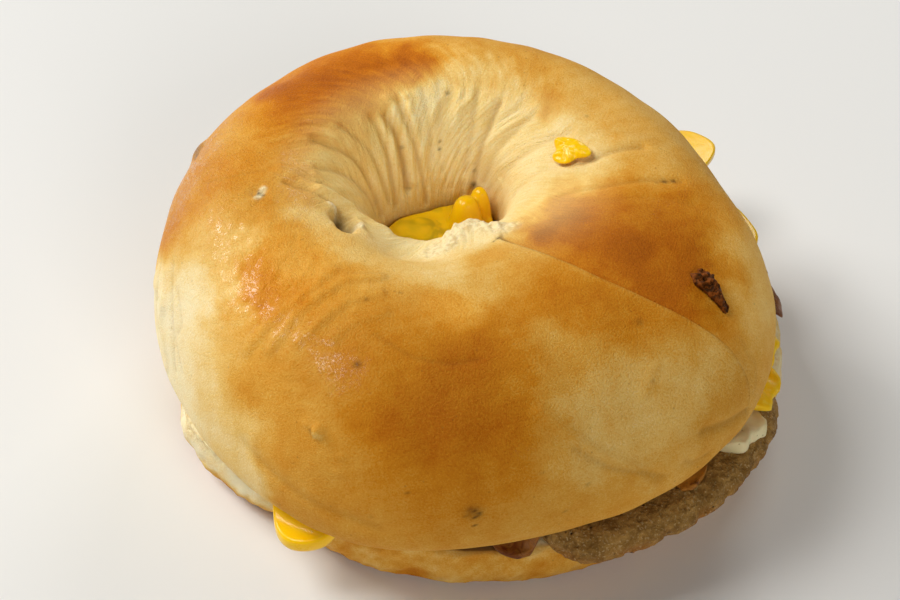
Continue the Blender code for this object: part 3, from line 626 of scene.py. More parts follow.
def bottom_crust():
    """Points and marks of the bottom half: flat base, round side, cut face and the hole's wall."""
    angle = round_steps(360)
    radius = bottom_radius(angle)
    rows = []
    skin = []
    for turn in np.concatenate([np.linspace(-90.0, 0.0, 19), np.linspace(5.0, 72.0, 14)]):
        low = turn < 0.0
        inset = FOOT_INSET if low else 1.2
        rise = BOTTOM_WIDEST if low else BOTTOM_HEIGHT - BOTTOM_WIDEST
        inward = inset * (1.0 - np.cos(np.radians(turn)))
        height = BOTTOM_WIDEST + rise * np.sin(np.radians(turn))
        rows.append(level_ring(BOTTOM_CENTRE, radius - inward, angle, height))
        skin.append(0.0)
    rim = level_ring(BOTTOM_CENTRE, radius - 1.8, angle, BOTTOM_HEIGHT)
    hole_top = level_ring(BOTTOM_HOLE_CENTRE, BOTTOM_HOLE_RADIUS + 0.8, angle, BOTTOM_HEIGHT)
    for share in np.linspace(0.0, 1.0, 41):
        rows.append(rim + share * (hole_top - rim))
        skin.append(1.0)
    for height, flare in BOTTOM_HOLE_WALL:
        rows.append(level_ring(BOTTOM_HOLE_CENTRE, BOTTOM_HOLE_RADIUS + flare, angle, height))
        skin.append(0.0)
    inner, outer = rows[-1], rows[0]
    for share in np.linspace(0.0, 1.0, 22)[1:-1]:
        rows.append(inner + share * (outer - inner))
        skin.append(0.0)
    points = np.array(rows)
    raw = np.repeat(np.array(skin)[:, None], len(angle), axis=1)
    around = np.broadcast_to(angle, raw.shape)
    height = points[..., 2]
    side = smooth_step(0.8, 4.0, height) * smooth_step(BOTTOM_HEIGHT + 0.2, 11.5, height) * (1.0 - raw)
    side = side * (np.hypot(points[..., 0], points[..., 1]) > 30.0)
    uneven = swells(points, BOTTOM_SWELLS) - BOTTOM_INSET
    points = points + (side * uneven)[..., None] * outward(around)
    reach = np.hypot(points[..., 0] - BOTTOM_CENTRE[0], points[..., 1] - BOTTOM_CENTRE[1])
    face = raw * smooth_step(0.0, 6.0, bottom_radius(around) - reach)
    points[..., 2] -= face * (0.10 + 0.10 * np.abs(wander(points, 2.0, 43)))
    pale_band = np.maximum(bell(around, -156.0, 30.0, 6), 0.7 * bell(around, -5.0, 25.0))
    pale_band = pale_band * smooth_step(4.0, 8.0, height)
    browning = 0.50 - 0.44 * pale_band + swells(points, BOTTOM_CLOUDS)
    browning = browning + 0.10 * smooth_step(4.0, 0.5, height) * (1.0 - pale_band)
    bubbly = bell(around, -165.0, 22.0, 4) * smooth_step(9.5, 12.0, height)
    stain = np.exp(-((points[..., 0] - 4.0) / 12.0) ** 2) * smooth_step(-44.0, -50.0, points[..., 1])
    stain = stain * smooth_step(11.0, 13.0, height)
    # painted shadow along the bottom half's upper edge at the front, in the gap under the top half's rim
    gap_shadow = bell(around, -103.0, 18.0, 6) * smooth_step(12.9, 13.4, height)
    marks = {
        "browning": browning,
        "painted_light_and_shade": 1.0 + 0.0 * raw,
        "torn": np.maximum(raw, bubbly),
        # painted gap shadow and a real grease stain, both darkened towards the shade colour
        "painted_shade_and_stain": np.clip(0.9 * gap_shadow + 0.75 * stain, 0.0, 0.9),
        "dark": 0.25 * stain + 0.5 * gap_shadow,
        "gloss": 0.6 * stain,
        "inner": 0.0 * raw,
        "strand": strand_place(around, 8.0 * height),
    }
    return points, marks


def patty_radius(angle):
    """Patty outline: full on the right, less where it is hidden, with a torn corner at the front."""
    shown = smooth_step(95.0, 35.0, np.abs(turn_from(angle, -45.0)))
    radius = PATTY_HIDDEN_RADIUS + (PATTY_RADIUS - PATTY_HIDDEN_RADIUS) * shown
    corner = PATTY_RADIUS * bell(angle, -70.0, 12.0) + radius * (1.0 - bell(angle, -70.0, 12.0))
    torn = smooth_step(-76.0, -93.0, angle) * smooth_step(-165.0, -120.0, angle)
    tuck = PATTY_TUCK * bell(angle, -3.0, 13.0, 4)
    return corner + (PATTY_NOTCH_RADIUS - corner) * torn - tuck


def patty_inside(x, y):
    """Distance of a plan point inside the patty's outline, measured along its radius."""
    across = x - PATTY_CENTRE[0]
    along = y - PATTY_CENTRE[1]
    return patty_radius(np.degrees(np.arctan2(along, across))) - np.hypot(across, along)


def patty_meat():
    """Points and marks of the patty: a rough-sided disc, from the middle below to the middle on top."""
    angle = turn_from(round_steps(420), 0.0)
    radius = patty_radius(angle) - PATTY_INSET
    middle = 0.5 * (PATTY_LOW + PATTY_TOP)
    half = 0.5 * PATTY_THICKNESS
    rows = []
    for share in np.linspace(0.05, 0.96, 20):
        rows.append(level_ring(PATTY_CENTRE, (radius - PATTY_EDGE) * share, angle, PATTY_LOW))
    for turn in np.linspace(-90.0, 90.0, 27):
        inward = PATTY_EDGE * (1.0 - np.cos(np.radians(turn)))
        height = middle + half * np.sin(np.radians(turn))
        rows.append(level_ring(PATTY_CENTRE, radius - inward, angle, height))
    for share in np.linspace(0.985, 0.05, 60):
        rows.append(level_ring(PATTY_CENTRE, (radius - PATTY_EDGE) * share, angle, PATTY_TOP))
    points = np.array(rows)
    height = points[..., 2]
    around = np.broadcast_to(angle, height.shape)
    rough = swells(points, PATTY_SWELLS)
    edge = smooth_step(5.0, 2.0, patty_inside(points[..., 0], points[..., 1]))
    points = points + (edge * np.clip(rough, -0.8, 0.3))[..., None] * outward(around)
    above = smooth_step(middle + 1.5, PATTY_TOP, height)
    points[..., 2] += above * np.clip(0.6 * rough, -0.7, 0.0) + above * -0.1
    fried = smooth_step(middle + 2.0, PATTY_LOW + 1.0, height) * (0.6 + 0.4 * wander(points, 6.0, 54))
    return points, {"fried": np.clip(fried, 0.0, 1.0), "rough": rough}


def bacon_support(x, y):
    """What a strip lies on: the patty's top, with a ramp to the bottom half beside its edge."""
    ramp = smooth_step(-6.5, -1.2, patty_inside(x, y))
    return BOTTOM_HEIGHT + (PATTY_TOP - BOTTOM_HEIGHT) * ramp


def bacon_strip(start, end, width, seed, fat_range):
    """Points of a strip: rings of 40 points round a flat rippled section, along a path that bends.

    The fat share goes from the first of its range at the start to the second further along.
    """
    share = np.linspace(0.0, 1.0, 110)[:, None]
    around = np.radians(round_steps(40))[None, :]
    start = np.array(start)
    path = np.array(end) - start
    side = np.array([-path[1], path[0]]) / np.linalg.norm(path)
    bend = BACON_BEND * np.sin(2.2 * np.pi * share)
    ragged = 0.03 * np.sin(31.0 * share + seed) + 0.03 * np.sin(57.0 * share + 2.0 * seed)
    reach = 0.5 * width * (1.0 + 0.10 * np.sin(9.0 * share + 1.0) + ragged)
    reach = reach * np.sqrt(np.clip(1.0 - (2.0 * share - 1.0) ** 12, 0.02, 1.0))
    offset = reach * np.sign(np.cos(around)) * np.abs(np.cos(around)) ** 0.8
    x = start[0] + share * path[0] + (bend + offset) * side[0]
    y = start[1] + share * path[1] + (bend + offset) * side[1]
    low = bacon_support(x, y) + GAP
    steep = np.clip((PATTY_TOP - low) / PATTY_THICKNESS, 0.0, 1.0)
    thickness = BACON_THICKNESS * (1.0 + 0.6 * steep)
    lift = np.sign(np.sin(around)) * np.abs(np.sin(around)) ** 0.6
    points = np.stack([x, y, low + thickness * (0.5 + 0.5 * lift)], axis=-1)
    ripple = 0.16 * wander(points, 4.0, 60 + seed) + 0.08 * wander(points, 1.6, 70 + seed)
    points[..., 2] += (0.5 + 0.5 * lift) * np.clip(ripple, -0.4, 0.25) * (low < PATTY_TOP - 0.5)
    stripes = 0.15 * np.sin(offset / width * 9.0 + 2.0 * np.sin(7.0 * share + seed))
    fat = fat_range[0] + (fat_range[1] - fat_range[0]) * smooth_step(0.15, 0.35, share)
    return points, {"fat": fat + stripes}


def sheet(angle, centre, radius, shares, low, high, round_edge=0.5):
    """Closed rows of a thin sheet: underside from the middle out, a round edge, and its top back in."""
    rows = []
    for share in shares:
        x, y = ring(centre, radius * share, angle)
        rows.append(np.stack([x, y, low(x, y)], axis=-1))
    for turn in np.linspace(-60.0, 60.0, 5):
        x, y = ring(centre, radius + round_edge * (np.cos(np.radians(turn)) - 1.0), angle)
        middle = 0.5 * (low(x, y) + high(x, y))
        half = 0.5 * (high(x, y) - low(x, y))
        rows.append(np.stack([x, y, middle + half * np.sin(np.radians(1.5 * turn))], axis=-1))
    for share in shares[::-1]:
        x, y = ring(centre, radius * share, angle)
        rows.append(np.stack([x, y, high(x, y)], axis=-1))
    return np.array(rows)


def egg_sheet():
    """Egg sheet under the cheese, lying on the patty at the right, with a ragged flap."""
    angle = round_steps(540)
    radius = EGG_RADIUS + wave_sum(angle, EGG_WAVES)
    flap = bell(angle, EGG_FLAP_ANGLE, EGG_FLAP_WIDTH, 3)
    around = level_ring((0.0, 0.0), EGG_RADIUS + EGG_FLAP, angle)
    radius = radius + flap * (EGG_FLAP - 0.5 + swells(around, EGG_FLAP_SWELLS))

    def low(x, y):
        return EGG_LOW - (EGG_LOW - PATTY_TOP - GAP) * smooth_step(14.0, 24.0, x)

    def high(x, y):
        out = np.hypot(x, y)
        room = 1.6 * smooth_step(34.0, 40.0, out) * smooth_step(54.0, 48.0, out)
        grain = 0.26 * wander(np.stack([x, y, 0.0 * x], axis=-1), 3.0, 83)
        level = cut_height(x, y) - CHEESE_THICKNESS - 2.0 * GAP - room
        return np.maximum(level + grain * smooth_step(44.0, 50.0, out), low(x, y) + 0.5)

    shares = np.concatenate([np.linspace(0.05, 0.8, 12), np.linspace(0.83, 0.99, 18)])
    points = sheet(angle, EGG_CENTRE, radius, shares, low, high)
    return points, {}


def inside_hole(x, y, hole_radius=HOLE_RADIUS):
    """Distance of a plan point inside the hole's ring."""
    return hole_radius - np.hypot(x - HOLE_CENTRE[0], y - HOLE_CENTRE[1])


def cheese_high(x, y):
    """Top of the cheese: just under the top half, bulging into the hole, with two lumps there.

    Outside the top half it sags, and at the front left it hangs down in a drip.
    """
    out = np.hypot(x, y)
    angle = np.degrees(np.arctan2(y, x))
    height = cut_height(x, y) - GAP
    hole_angle = np.degrees(np.arctan2(y - HOLE_CENTRE[1], x - HOLE_CENTRE[0]))
    hole_radius = HOLE_RADIUS + wave_sum(hole_angle, HOLE_WAVES)
    pool = smooth_step(0.0, 1.6, inside_hole(x, y, hole_radius))
    place = np.stack([x, y, 0.0 * x], axis=-1)
    height = height + (CHEESE_POOL + swells(place, CHEESE_POOL_SWELLS)) * pool
    lumps = 0.0 * x
    for lump_x, lump_y, size, rise in CHEESE_LUMPS:
        beside = ((x - lump_x) ** 2 + (y - lump_y) ** 2) / size ** 2
        dome = np.sqrt(np.clip(1.0 - beside, 0.0, 1.0))
        lumps = np.maximum(lumps, rise * (0.6 * dome + 0.4 * np.exp(-beside ** 3)))
    height = height + lumps * pool
    height = height - CHEESE_SAG * np.maximum(out - CHEESE_SAG_FROM, 0.0)
    lumpy = bell(angle, CHEESE_LUMPY_ANGLE, 18.0, 4) * smooth_step(50.0, 53.0, out)
    height = height + lumpy * (swells(place, CHEESE_EDGE_SWELLS) - 0.2)
    drip = smooth_step(50.2, 54.0, out) * bell(angle, CHEESE_DRIP_ANGLE, CHEESE_DRIP_WIDTH, 4)
    return height - CHEESE_DRIP * drip


def cheese_low(x, y):
    """Underside of the cheese, thicker where it hangs steeply."""
    angle = np.degrees(np.arctan2(y, x))
    out = np.hypot(x, y)
    hanging = smooth_step(50.6, 53.0, out) * bell(angle, CHEESE_DRIP_ANGLE, CHEESE_DRIP_WIDTH, 4)
    outside_level = np.minimum(cheese_high(x, y), FILLED_HEIGHT)
    level = np.where(inside_hole(x, y) > -3.0, FILLED_HEIGHT - GAP, outside_level)
    return level - CHEESE_THICKNESS - CHEESE_DRIP_THICKENING * hanging


def cheese_slice():
    """Cheese as rings that pass from the hole's outline to the slice's outline, top and underside."""
    angle = round_steps(480)
    reach = CHEESE_RADIUS + 0.0 * angle
    for centre, length, width, power in CHEESE_CORNERS:
        reach = np.maximum(reach, CHEESE_RADIUS + length * bell(angle, centre, width, power))
    edge_ring = level_ring((0.0, 0.0), 58.0, angle)
    uneven = bell(angle, CHEESE_LUMPY_ANGLE, 26.0, 4) * wander(edge_ring, 4.0, 95)
    reach = reach + 0.25 * uneven - 0.1
    hole_radius = HOLE_RADIUS + wave_sum(angle, HOLE_WAVES)
    plan = [np.stack(ring(HOLE_CENTRE, hole_radius * share, angle), axis=-1)
            for share in np.linspace(0.03, 1.1, CHEESE_HOLE_RINGS)]
    edge = np.stack(ring((0.0, 0.0), reach, angle), axis=-1)
    start = plan[-1]
    spread = np.concatenate([np.linspace(0.1, 0.6, 6), np.linspace(0.64, 0.995, 34)])
    plan += [start + share * (edge - start) for share in spread]
    under = plan[CHEESE_HOLE_RINGS - 1:]
    rows = [np.column_stack([row, cheese_low(row[:, 0], row[:, 1])]) for row in under]
    low = cheese_low(edge[:, 0], edge[:, 1])
    high = cheese_high(edge[:, 0], edge[:, 1])
    rows += [np.column_stack([edge, low + share * (high - low)]) for share in (0.2, 0.5, 0.8)]
    rows += [np.column_stack([row, cheese_high(row[:, 0], row[:, 1])]) for row in plan[::-1]]
    points = np.array(rows)
    x, y = points[..., 0], points[..., 1]
    lumps = 0.0 * x
    for lump_x, lump_y, size, _ in CHEESE_LUMPS:
        beside = ((x - lump_x) ** 2 + (y - lump_y) ** 2) / (1.4 * size) ** 2
        lumps = np.maximum(lumps, np.exp(-beside ** 2))
    around = np.degrees(np.arctan2(y, x))
    dull = bell(around, CHEESE_LUMPY_ANGLE, 24.0, 4) * smooth_step(48.0, 52.0, np.hypot(x, y))
    return points, {"pool": smooth_step(0.0, 3.0, inside_hole(x, y)) * (1.0 - lumps), "dull": dull}


def crust_crumb(angle_at, sweep_at, half_length, half_width, height, turn, uneven, taper, knobbly, seed):
    """A crumb on the crust: rings of an uneven oval in the surface, from underneath over its top.

    Taper narrows it towards one end, and knobbly is how far it swells and shrinks.
    """
    around = round_steps(96)
    middle = mark(angle_at, sweep_at)
    per_angle = np.linalg.norm(mark(angle_at + 1.0, sweep_at) - middle)
    per_sweep = np.linalg.norm(mark(angle_at, sweep_at + 1.0) - middle)
    cosine = np.cos(np.radians(turn))
    sine = np.sin(np.radians(turn))
    rows = []
    profile = [(share, 0.0) for share in np.linspace(0.1, 0.92, 6)]
    tilts = np.radians(np.linspace(10.0, 86.0, 20))
    profile += list(zip(np.cos(tilts), np.sin(tilts)))
    for share, lift in profile:
        long_way = half_length * share * uneven(around) * np.cos(np.radians(around))
        short_way = half_width * share * uneven(around) * np.sin(np.radians(around))
        short_way = short_way * (1.0 - taper * np.cos(np.radians(around)))
        at_angle = angle_at + (long_way * cosine - short_way * sine) / per_angle
        at_sweep = sweep_at + (long_way * sine + short_way * cosine) / per_sweep
        base = smooth_top(at_angle, at_sweep)
        up = top_normal(at_angle, at_sweep)
        knobs = knobbly * (wander(base, 1.9, seed) + 0.5 * wander(base, 0.9, seed + 1))
        rise = GAP + (height * lift ** 0.8) * (1.0 + knobs)
        base = base + seam_relief(at_angle, at_sweep)[..., None] * up
        rows.append(base + rise[:, None] * up)
    return np.array(rows), {}


class Level:
    """A shader socket with a number or a colour; arithmetic on it adds Math nodes."""

    def __init__(self, finish, socket):
        self.finish = finish
        self.socket = socket

    def math(self, operation, *others, clamp=False):
        """Math node of this value and the others."""
        settings = {"operation": operation, "use_clamp": clamp}
        inputs = dict(enumerate((self, *others)))
        return self.finish.node("ShaderNodeMath", settings, inputs)

    def __add__(self, other):
        return self.math("ADD", other)

    __radd__ = __add__

    def __sub__(self, other):
        return self.math("SUBTRACT", other)

    def __rsub__(self, other):
        return self.finish.node("ShaderNodeMath", {"operation": "SUBTRACT"}, {0: other, 1: self})

    def __mul__(self, other):
        return self.math("MULTIPLY", other)

    __rmul__ = __mul__

    def held(self):
        """Held between 0 and 1."""
        return self.math("ADD", 0.0, clamp=True)

    def above(self, low, high):
        """Smooth rise from 0 at low to 1 at high."""
        settings = {"interpolation_type": "SMOOTHSTEP"}
        inputs = {"Value": self, "From Min": low, "From Max": high}
        return self.finish.node("ShaderNodeMapRange", settings, inputs)


class Finish:
    """One material: a Principled shader and the nodes that feed it."""

    def __init__(self, name, **constants):
        self.material = bpy.data.materials.new(name)
        self.material.use_nodes = True
        self.tree = self.material.node_tree
        self.shader = self.tree.nodes["Principled BSDF"]
        for socket, value in constants.items():
            self.shader.inputs[socket.replace("_", " ")].default_value = value

    def node(self, kind, settings=None, inputs=None, output=0):
        """Add a node: its settings first, then values or links for its sockets; give one output."""
        made = self.tree.nodes.new(kind)
        for setting, value in (settings or {}).items():
            setattr(made, setting, value)
        for socket, value in (inputs or {}).items():
            if isinstance(value, Level):
                self.tree.links.new(value.socket, made.inputs[socket])
            else:
                made.inputs[socket].default_value = value
        return Level(self, made.outputs[output])

    def feed(self, socket, value):
        """Link a value to the shader."""
        self.tree.links.new(value.socket, self.shader.inputs[socket])

    def place(self):
        """Object coordinates in millimetres."""
        return self.stretch(self.node("ShaderNodeTexCoord", output="Object"), (1000.0, 1000.0, 1000.0))

    def mark(self, name, output="Fac"):
        """A mark of the mesh."""
        return self.node("ShaderNodeAttribute", {"attribute_name": name}, output=output)

    def stretch(self, vector, factors):
        """Vector with each part multiplied."""
        return self.node("ShaderNodeVectorMath", {"operation": "MULTIPLY"}, {0: vector, 1: factors})

    def noise(self, vector, size, detail=2.0, distortion=0.0, roughness=0.5):
        """Noise with swells about the given size apart."""
        inputs = {"Vector": vector, "Scale": 1.0 / size, "Detail": detail, "Distortion": distortion,
                  "Roughness": roughness}
        return self.node("ShaderNodeTexNoise", None, inputs)

    def cells(self, vector, size):
        """Distance from the nearest of scattered points, about the given size apart."""
        return self.node("ShaderNodeTexVoronoi", None, {"Vector": vector, "Scale": 1.0 / size})

    def mix(self, share, first, second):
        """Colour between two colours."""
        settings = {"data_type": "RGBA", "clamp_factor": True}
        return self.node("ShaderNodeMix", settings, {0: share, 6: first, 7: second}, output=2)

    def shade(self, color, amount):
        """Colour times a number."""
        return self.node("ShaderNodeVectorMath", {"operation": "SCALE"}, {0: color, "Scale": amount})

    def ramp(self, value, stops):
        """Colours at given levels, blended evenly between them."""
        made = self.tree.nodes.new("ShaderNodeValToRGB")
        elements = made.color_ramp.elements
        while len(elements) < len(stops):
            elements.new(1.0)
        for element, (level, color) in zip(elements, stops):
            element.position = level
            element.color = color
        self.tree.links.new(value.socket, made.inputs[0])
        return Level(self, made.outputs[0])

    def bump(self, height, distance, strength=1.0):
        """Normal tilted by a height in parts of the distance, which is in millimetres."""
        inputs = {"Height": height, "Distance": distance * 0.001, "Strength": strength}
        return self.node("ShaderNodeBump", None, inputs)


def tint(red, green, blue):
    """Colour from display values of 0 to 255."""
    parts = np.array([red, green, blue]) / 255.0
    linear = np.where(parts <= 0.04045, parts / 12.92, ((parts + 0.055) / 1.055) ** 2.4)
    return (*[float(part) for part in linear], 1.0)


def crust_finish(name):
    """Baked crust: cream to dark brown by its browning, glossy in places, torn dough where marked."""
    finish = Finish(name, Specular_IOR_Level=0.32, Specular_Tint=tint(255, 200, 130), Coat_Roughness=0.14,
                    Coat_IOR=1.45, Subsurface_Weight=0.10, Subsurface_Scale=0.002,
                    Subsurface_Radius=(1.0, 0.5, 0.2))
    place = finish.place()
    strand = finish.mark("strand", "Vector")
    inner = finish.mark("inner")
    torn = finish.mark("torn")
    gloss = finish.mark("gloss")
    grain = finish.noise(place, 0.42, 2.0, roughness=0.6)
    speckle = finish.noise(place, 0.26, 1.0)
    mottle = finish.noise(place, 2.2, 4.0, 0.6, 0.6)
    fibre = finish.noise(finish.stretch(strand, (1.0, 1.0, 0.6)), 0.8, 3.0, 0.2, 0.7)
    level = finish.mark("browning") + 0.08 * (mottle - 0.5) + 0.22 * (grain - 0.5) + 0.20 * (speckle - 0.5)
    level = level + 0.34 * inner * (fibre - 0.5)
    stops = (
        (0.00, tint(248, 233, 192)),
        (0.15, tint(243, 217, 158)),
        (0.32, tint(232, 190, 107)),
        (0.48, tint(219, 160, 63)),
        (0.64, tint(205, 131, 24)),
        (0.80, tint(185, 102, 6)),
        (1.00, tint(154, 75, 1)),
    )
    color = finish.ramp(level.held(), stops)
    color = finish.mix(0.35 * inner, color, tint(244, 222, 150))
    doughy = finish.noise(place, 1.0, 4.0, 0.6).above(0.34, 0.62)
    dough = finish.mix(doughy, tint(226, 198, 142), tint(247, 229, 180))
    color = finish.mix(torn, color, dough)
    pores = finish.cells(place, 2.1)
    pinholes = (1.0 - pores.above(0.05, 0.13)) * finish.noise(place, 5.0).above(0.50, 0.60)
    # Painted shade: creases, the seam's crevice and the gap under the top half darken towards a shade
    # colour, golden inside the hole; a real stain on the bottom half and the pinholes take the same colour
    shaded = finish.mix(inner, tint(122, 76, 28), tint(176, 128, 56))
    color = finish.mix((finish.mark("painted_shade_and_stain") + 0.35 * pinholes).held(), color, shaded)
    # painted light and shade: the colour times a factor, lighter on lit parts and darker on shaded ones
    color = finish.shade(color, finish.mark("painted_light_and_shade"))
    # dark specks and painted shade in pits and cracks; on the bottom half, painted gap shadow and a stain
    color = finish.mix(finish.mark("dark"), color, tint(50, 30, 14))
    finish.feed("Base Color", color)
    peel = finish.noise(place, 1.0, 2.0, 1.2)
    lines = 1.0 - (peel - 0.5).math("ABSOLUTE").above(0.0, 0.055)
    glints = lines * finish.noise(place, 1.6, 1.0).above(0.34, 0.54)
    flecks = speckle.above(0.60, 0.74)
    rough = 0.84 - gloss * (0.34 + 0.20 * glints) + 0.2 * (grain - 0.5)
    finish.feed("Roughness", rough.held())
    weight = (gloss - 0.4).held() * (0.04 + 1.1 * glints + 0.6 * flecks) + 0.08 * flecks
    finish.feed("Coat Weight", (weight * (1.0 - torn)).held())
    crumb = finish.cells(place, 1.1)
    height = 0.5 * grain + 0.5 * speckle + gloss * 0.5 * peel + 0.9 * inner * fibre
    height = height * (1.0 - torn) + torn * (crumb.math("MINIMUM", 0.6) + 0.8 * grain)
    finish.feed("Normal", finish.bump(height, 0.26))
    return finish.material


def sausage_finish():
    """Cooked minced meat: grey brown, pale and dark grains, pale dots of painted glint, fried edge, slightly
    moist.
    """
    finish = Finish("sausage_meat", Specular_IOR_Level=0.3, Specular_Tint=tint(255, 215, 160))
    place = finish.place()
    coarse = finish.noise(place, 3.0, 4.0, 0.8, 0.65)
    grains = finish.noise(place, 0.9, 3.0, 0.5, 0.6)
    color = finish.mix(coarse.above(0.3, 0.7), tint(124, 88, 38), tint(176, 134, 70))
    color = finish.mix(finish.mark("fried") * 0.75, color, tint(158, 98, 34))
    # painted glints: small pale dots
    color = finish.mix(finish.noise(place, 0.45, 1.0).above(0.58, 0.72) * 0.5, color, tint(205, 178, 130))
    color = finish.shade(color, 0.70 + 0.60 * grains)
    chosen = finish.noise(place, 3.4, 2.0).above(0.44, 0.54)
    specks = (1.0 - finish.cells(place, 2.3).above(0.05, 0.14)) * chosen
    color = finish.mix(specks * 0.9, color, tint(34, 22, 12))
    finish.feed("Base Color", color)
    finish.feed("Roughness", 0.46 + 0.3 * grains)
    height = 0.8 * coarse + 1.2 * grains - 0.8 * specks
    finish.feed("Normal", finish.bump(height, 0.6))
    return finish.material


def bacon_finish():
    """Fried bacon: red brown lean, orange fat, greasy."""
    finish = Finish("fried_bacon", Specular_IOR_Level=0.4, Specular_Tint=tint(255, 190, 120),
                    Coat_Roughness=0.15)
    place = finish.place()
    patches = finish.noise(place, 2.2, 4.0, 1.0, 0.6)
    fat = (finish.mark("fat") * 0.7 + patches * 0.8 - 0.35).held()
    color = finish.mix(fat, tint(88, 30, 6), tint(206, 138, 48))
    color = finish.mix(patches.above(0.58, 0.72) * 0.8, color, tint(70, 24, 6))
    finish.feed("Base Color", color)
    finish.feed("Roughness", 0.34 + 0.30 * patches)
    finish.feed("Coat Weight", 0.35 * patches.above(0.52, 0.66))
    finish.feed("Normal", finish.bump(patches + 0.4 * finish.noise(place, 0.7), 0.5, 0.8))
    return finish.material


def egg_finish():
    """Cooked egg: pale cream, satin, with fine pores."""
    finish = Finish("cooked_egg", Specular_IOR_Level=0.4, Subsurface_Weight=0.1, Subsurface_Scale=0.002)
    place = finish.place()
    cloud = finish.noise(place, 3.0, 3.0)
    pores = 1.0 - finish.cells(place, 1.3).above(0.06, 0.16)
    color = finish.mix(cloud, tint(216, 194, 136), tint(242, 230, 184))
    color = finish.mix(pores * 0.5, color, tint(140, 106, 50))
    finish.feed("Base Color", color)
    finish.feed("Roughness", 0.40 + 0.2 * cloud)
    finish.feed("Normal", finish.bump(cloud - 0.5 * pores, 0.3, 0.8))
    return finish.material


def cheese_finish():
    """Melted cheese: strong yellow, glossy, with greenish painted shade in the pool, duller and lumpy where
    it set.
    """
    finish = Finish("melted_cheese", Specular_IOR_Level=0.2, Subsurface_Weight=0.12, Subsurface_Scale=0.002,
                    Coat_Roughness=0.08)
    place = finish.place()
    cloud = finish.noise(place, 4.0, 3.0, 0.5)
    dull = finish.mark("dull")
    pool = finish.mark("pool")
    color = finish.mix(cloud, tint(250, 190, 0), tint(255, 207, 8))
    color = finish.mix(dull * finish.noise(place, 1.6).above(0.45, 0.7) * 0.5, color, tint(250, 218, 90))
    color = finish.mix(pool * 0.55, color, tint(246, 204, 0))
    # painted shade: dark olive patches in the pool
    pool_shade = pool * finish.noise(place, 5.0, 2.0, 0.8).above(0.42, 0.60)
    color = finish.mix(pool_shade * 0.60, color, tint(164, 140, 0))
    finish.feed("Base Color", color)
    finish.feed("Roughness", (0.24 + 0.30 * dull + 0.1 * cloud).held())
    finish.feed("Coat Weight", (0.25 + 0.45 * pool - 0.2 * dull).held())
    ripple = finish.noise(place, 3.2, 1.0) + dull * finish.noise(place, 1.2)
    finish.feed("Normal", finish.bump(ripple, 0.4, 0.5))
    return finish.material


def crumb_finish():
    """Burnt bacon crumb: dark reddish brown, knobbly, with a few glints."""
    finish = Finish("burnt_crumb", Specular_IOR_Level=0.25, Specular_Tint=tint(255, 200, 140))
    place = finish.place()
    knobs = finish.noise(place, 0.8, 3.0, 0.5)
    finish.feed("Base Color", finish.mix(knobs.above(0.35, 0.7), tint(46, 20, 4), tint(132, 68, 20)))
    finish.feed("Roughness", 0.35 + 0.4 * knobs)
    finish.feed("Normal", finish.bump(knobs, 0.6))
    return finish.material


def table_finish():
    """Pale warm-white table, very faintly uneven."""
    finish = Finish("pale_table", Roughness=0.55, Specular_IOR_Level=0.25)
    cloud = finish.noise(finish.place(), 160.0, 2.0)
    finish.feed("Base Color", finish.mix(cloud, tint(231, 229, 225), tint(236, 235, 232)))
    return finish.material


def add_piece(name, rows, marks, material, slot, nodes, tube=False):
    """Mesh from rows of rings, joined by quads, that stands for CAD nodes.

    A tube's last row joins its first. Otherwise each end is closed by a fan round its middle point. The
    faces are turned round if the enclosed volume comes out negative.
    """
    count, steps = rows.shape[:2]
    points = rows.reshape(-1, 3)
    below = np.arange(count if tube else count - 1)[:, None]
    above = (below + 1) % count
    here = np.arange(steps)[None, :]
    after = (here + 1) % steps
    corners = (below * steps + here, below * steps + after, above * steps + after, above * steps + here)
    quads = np.stack(corners, axis=-1).reshape(-1, 4)
    fans = np.zeros((0, 3), dtype=int)
    if not tube:
        here, after = here[0], after[0]
        last = (count - 1) * steps
        first_fan = np.stack([after, here, np.full(steps, len(points))], axis=-1)
        last_fan = np.stack([last + here, last + after, np.full(steps, len(points) + 1)], axis=-1)
        fans = np.concatenate([first_fan, last_fan])
        points = np.concatenate([points, rows[0].mean(axis=0)[None], rows[-1].mean(axis=0)[None]])
    corner = points[np.concatenate([quads[:, :3], quads[:, [0, 2, 3]], fans])]
    volume = np.einsum("ij,ij->i", corner[:, 0], np.cross(corner[:, 1], corner[:, 2])).sum()
    if volume < 0.0:
        quads, fans = quads[:, ::-1], fans[:, ::-1]
    mesh = bpy.data.meshes.new(name)
    shifted = (points + np.array([*PLAN_SHIFT, 0.0])) * 0.001
    mesh.from_pydata(shifted, [], quads.tolist() + fans.tolist())
    for mark_name, values in marks.items():
        values = np.asarray(values, dtype=np.float32)
        parts = values.reshape(count * steps, -1)
        if not tube:
            ends = [values[0].reshape(steps, -1).mean(axis=0), values[-1].reshape(steps, -1).mean(axis=0)]
            parts = np.concatenate([parts, ends])
        vector = parts.shape[1] == 3
        layer = mesh.attributes.new(mark_name, "FLOAT_VECTOR" if vector else "FLOAT", "POINT")
        layer.data.foreach_set("vector" if vector else "value", parts.astype(np.float32).ravel())
    mesh.shade_smooth()
    mesh.materials.append(material)
    piece = bpy.data.objects.new(name, mesh)
    bpy.context.scene.collection.objects.link(piece)
    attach(piece, "root")
    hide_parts(*nodes)


def dab_outline(around):
    """Rough triangle with round corners."""
    return 1.0 + 0.17 * np.cos(np.radians(3.0 * around + 40.0)) + 0.06 * np.cos(np.radians(5.0 * around))


def crumb_outline(around):
    """Two lobes and a thin tail."""
    waist = 0.06 * np.cos(np.radians(3.0 * around + 70.0)) - 0.12 * np.cos(np.radians(4.0 * around))
    return 1.0 + waist + 0.07 * np.cos(np.radians(9.0 * around + 20.0))


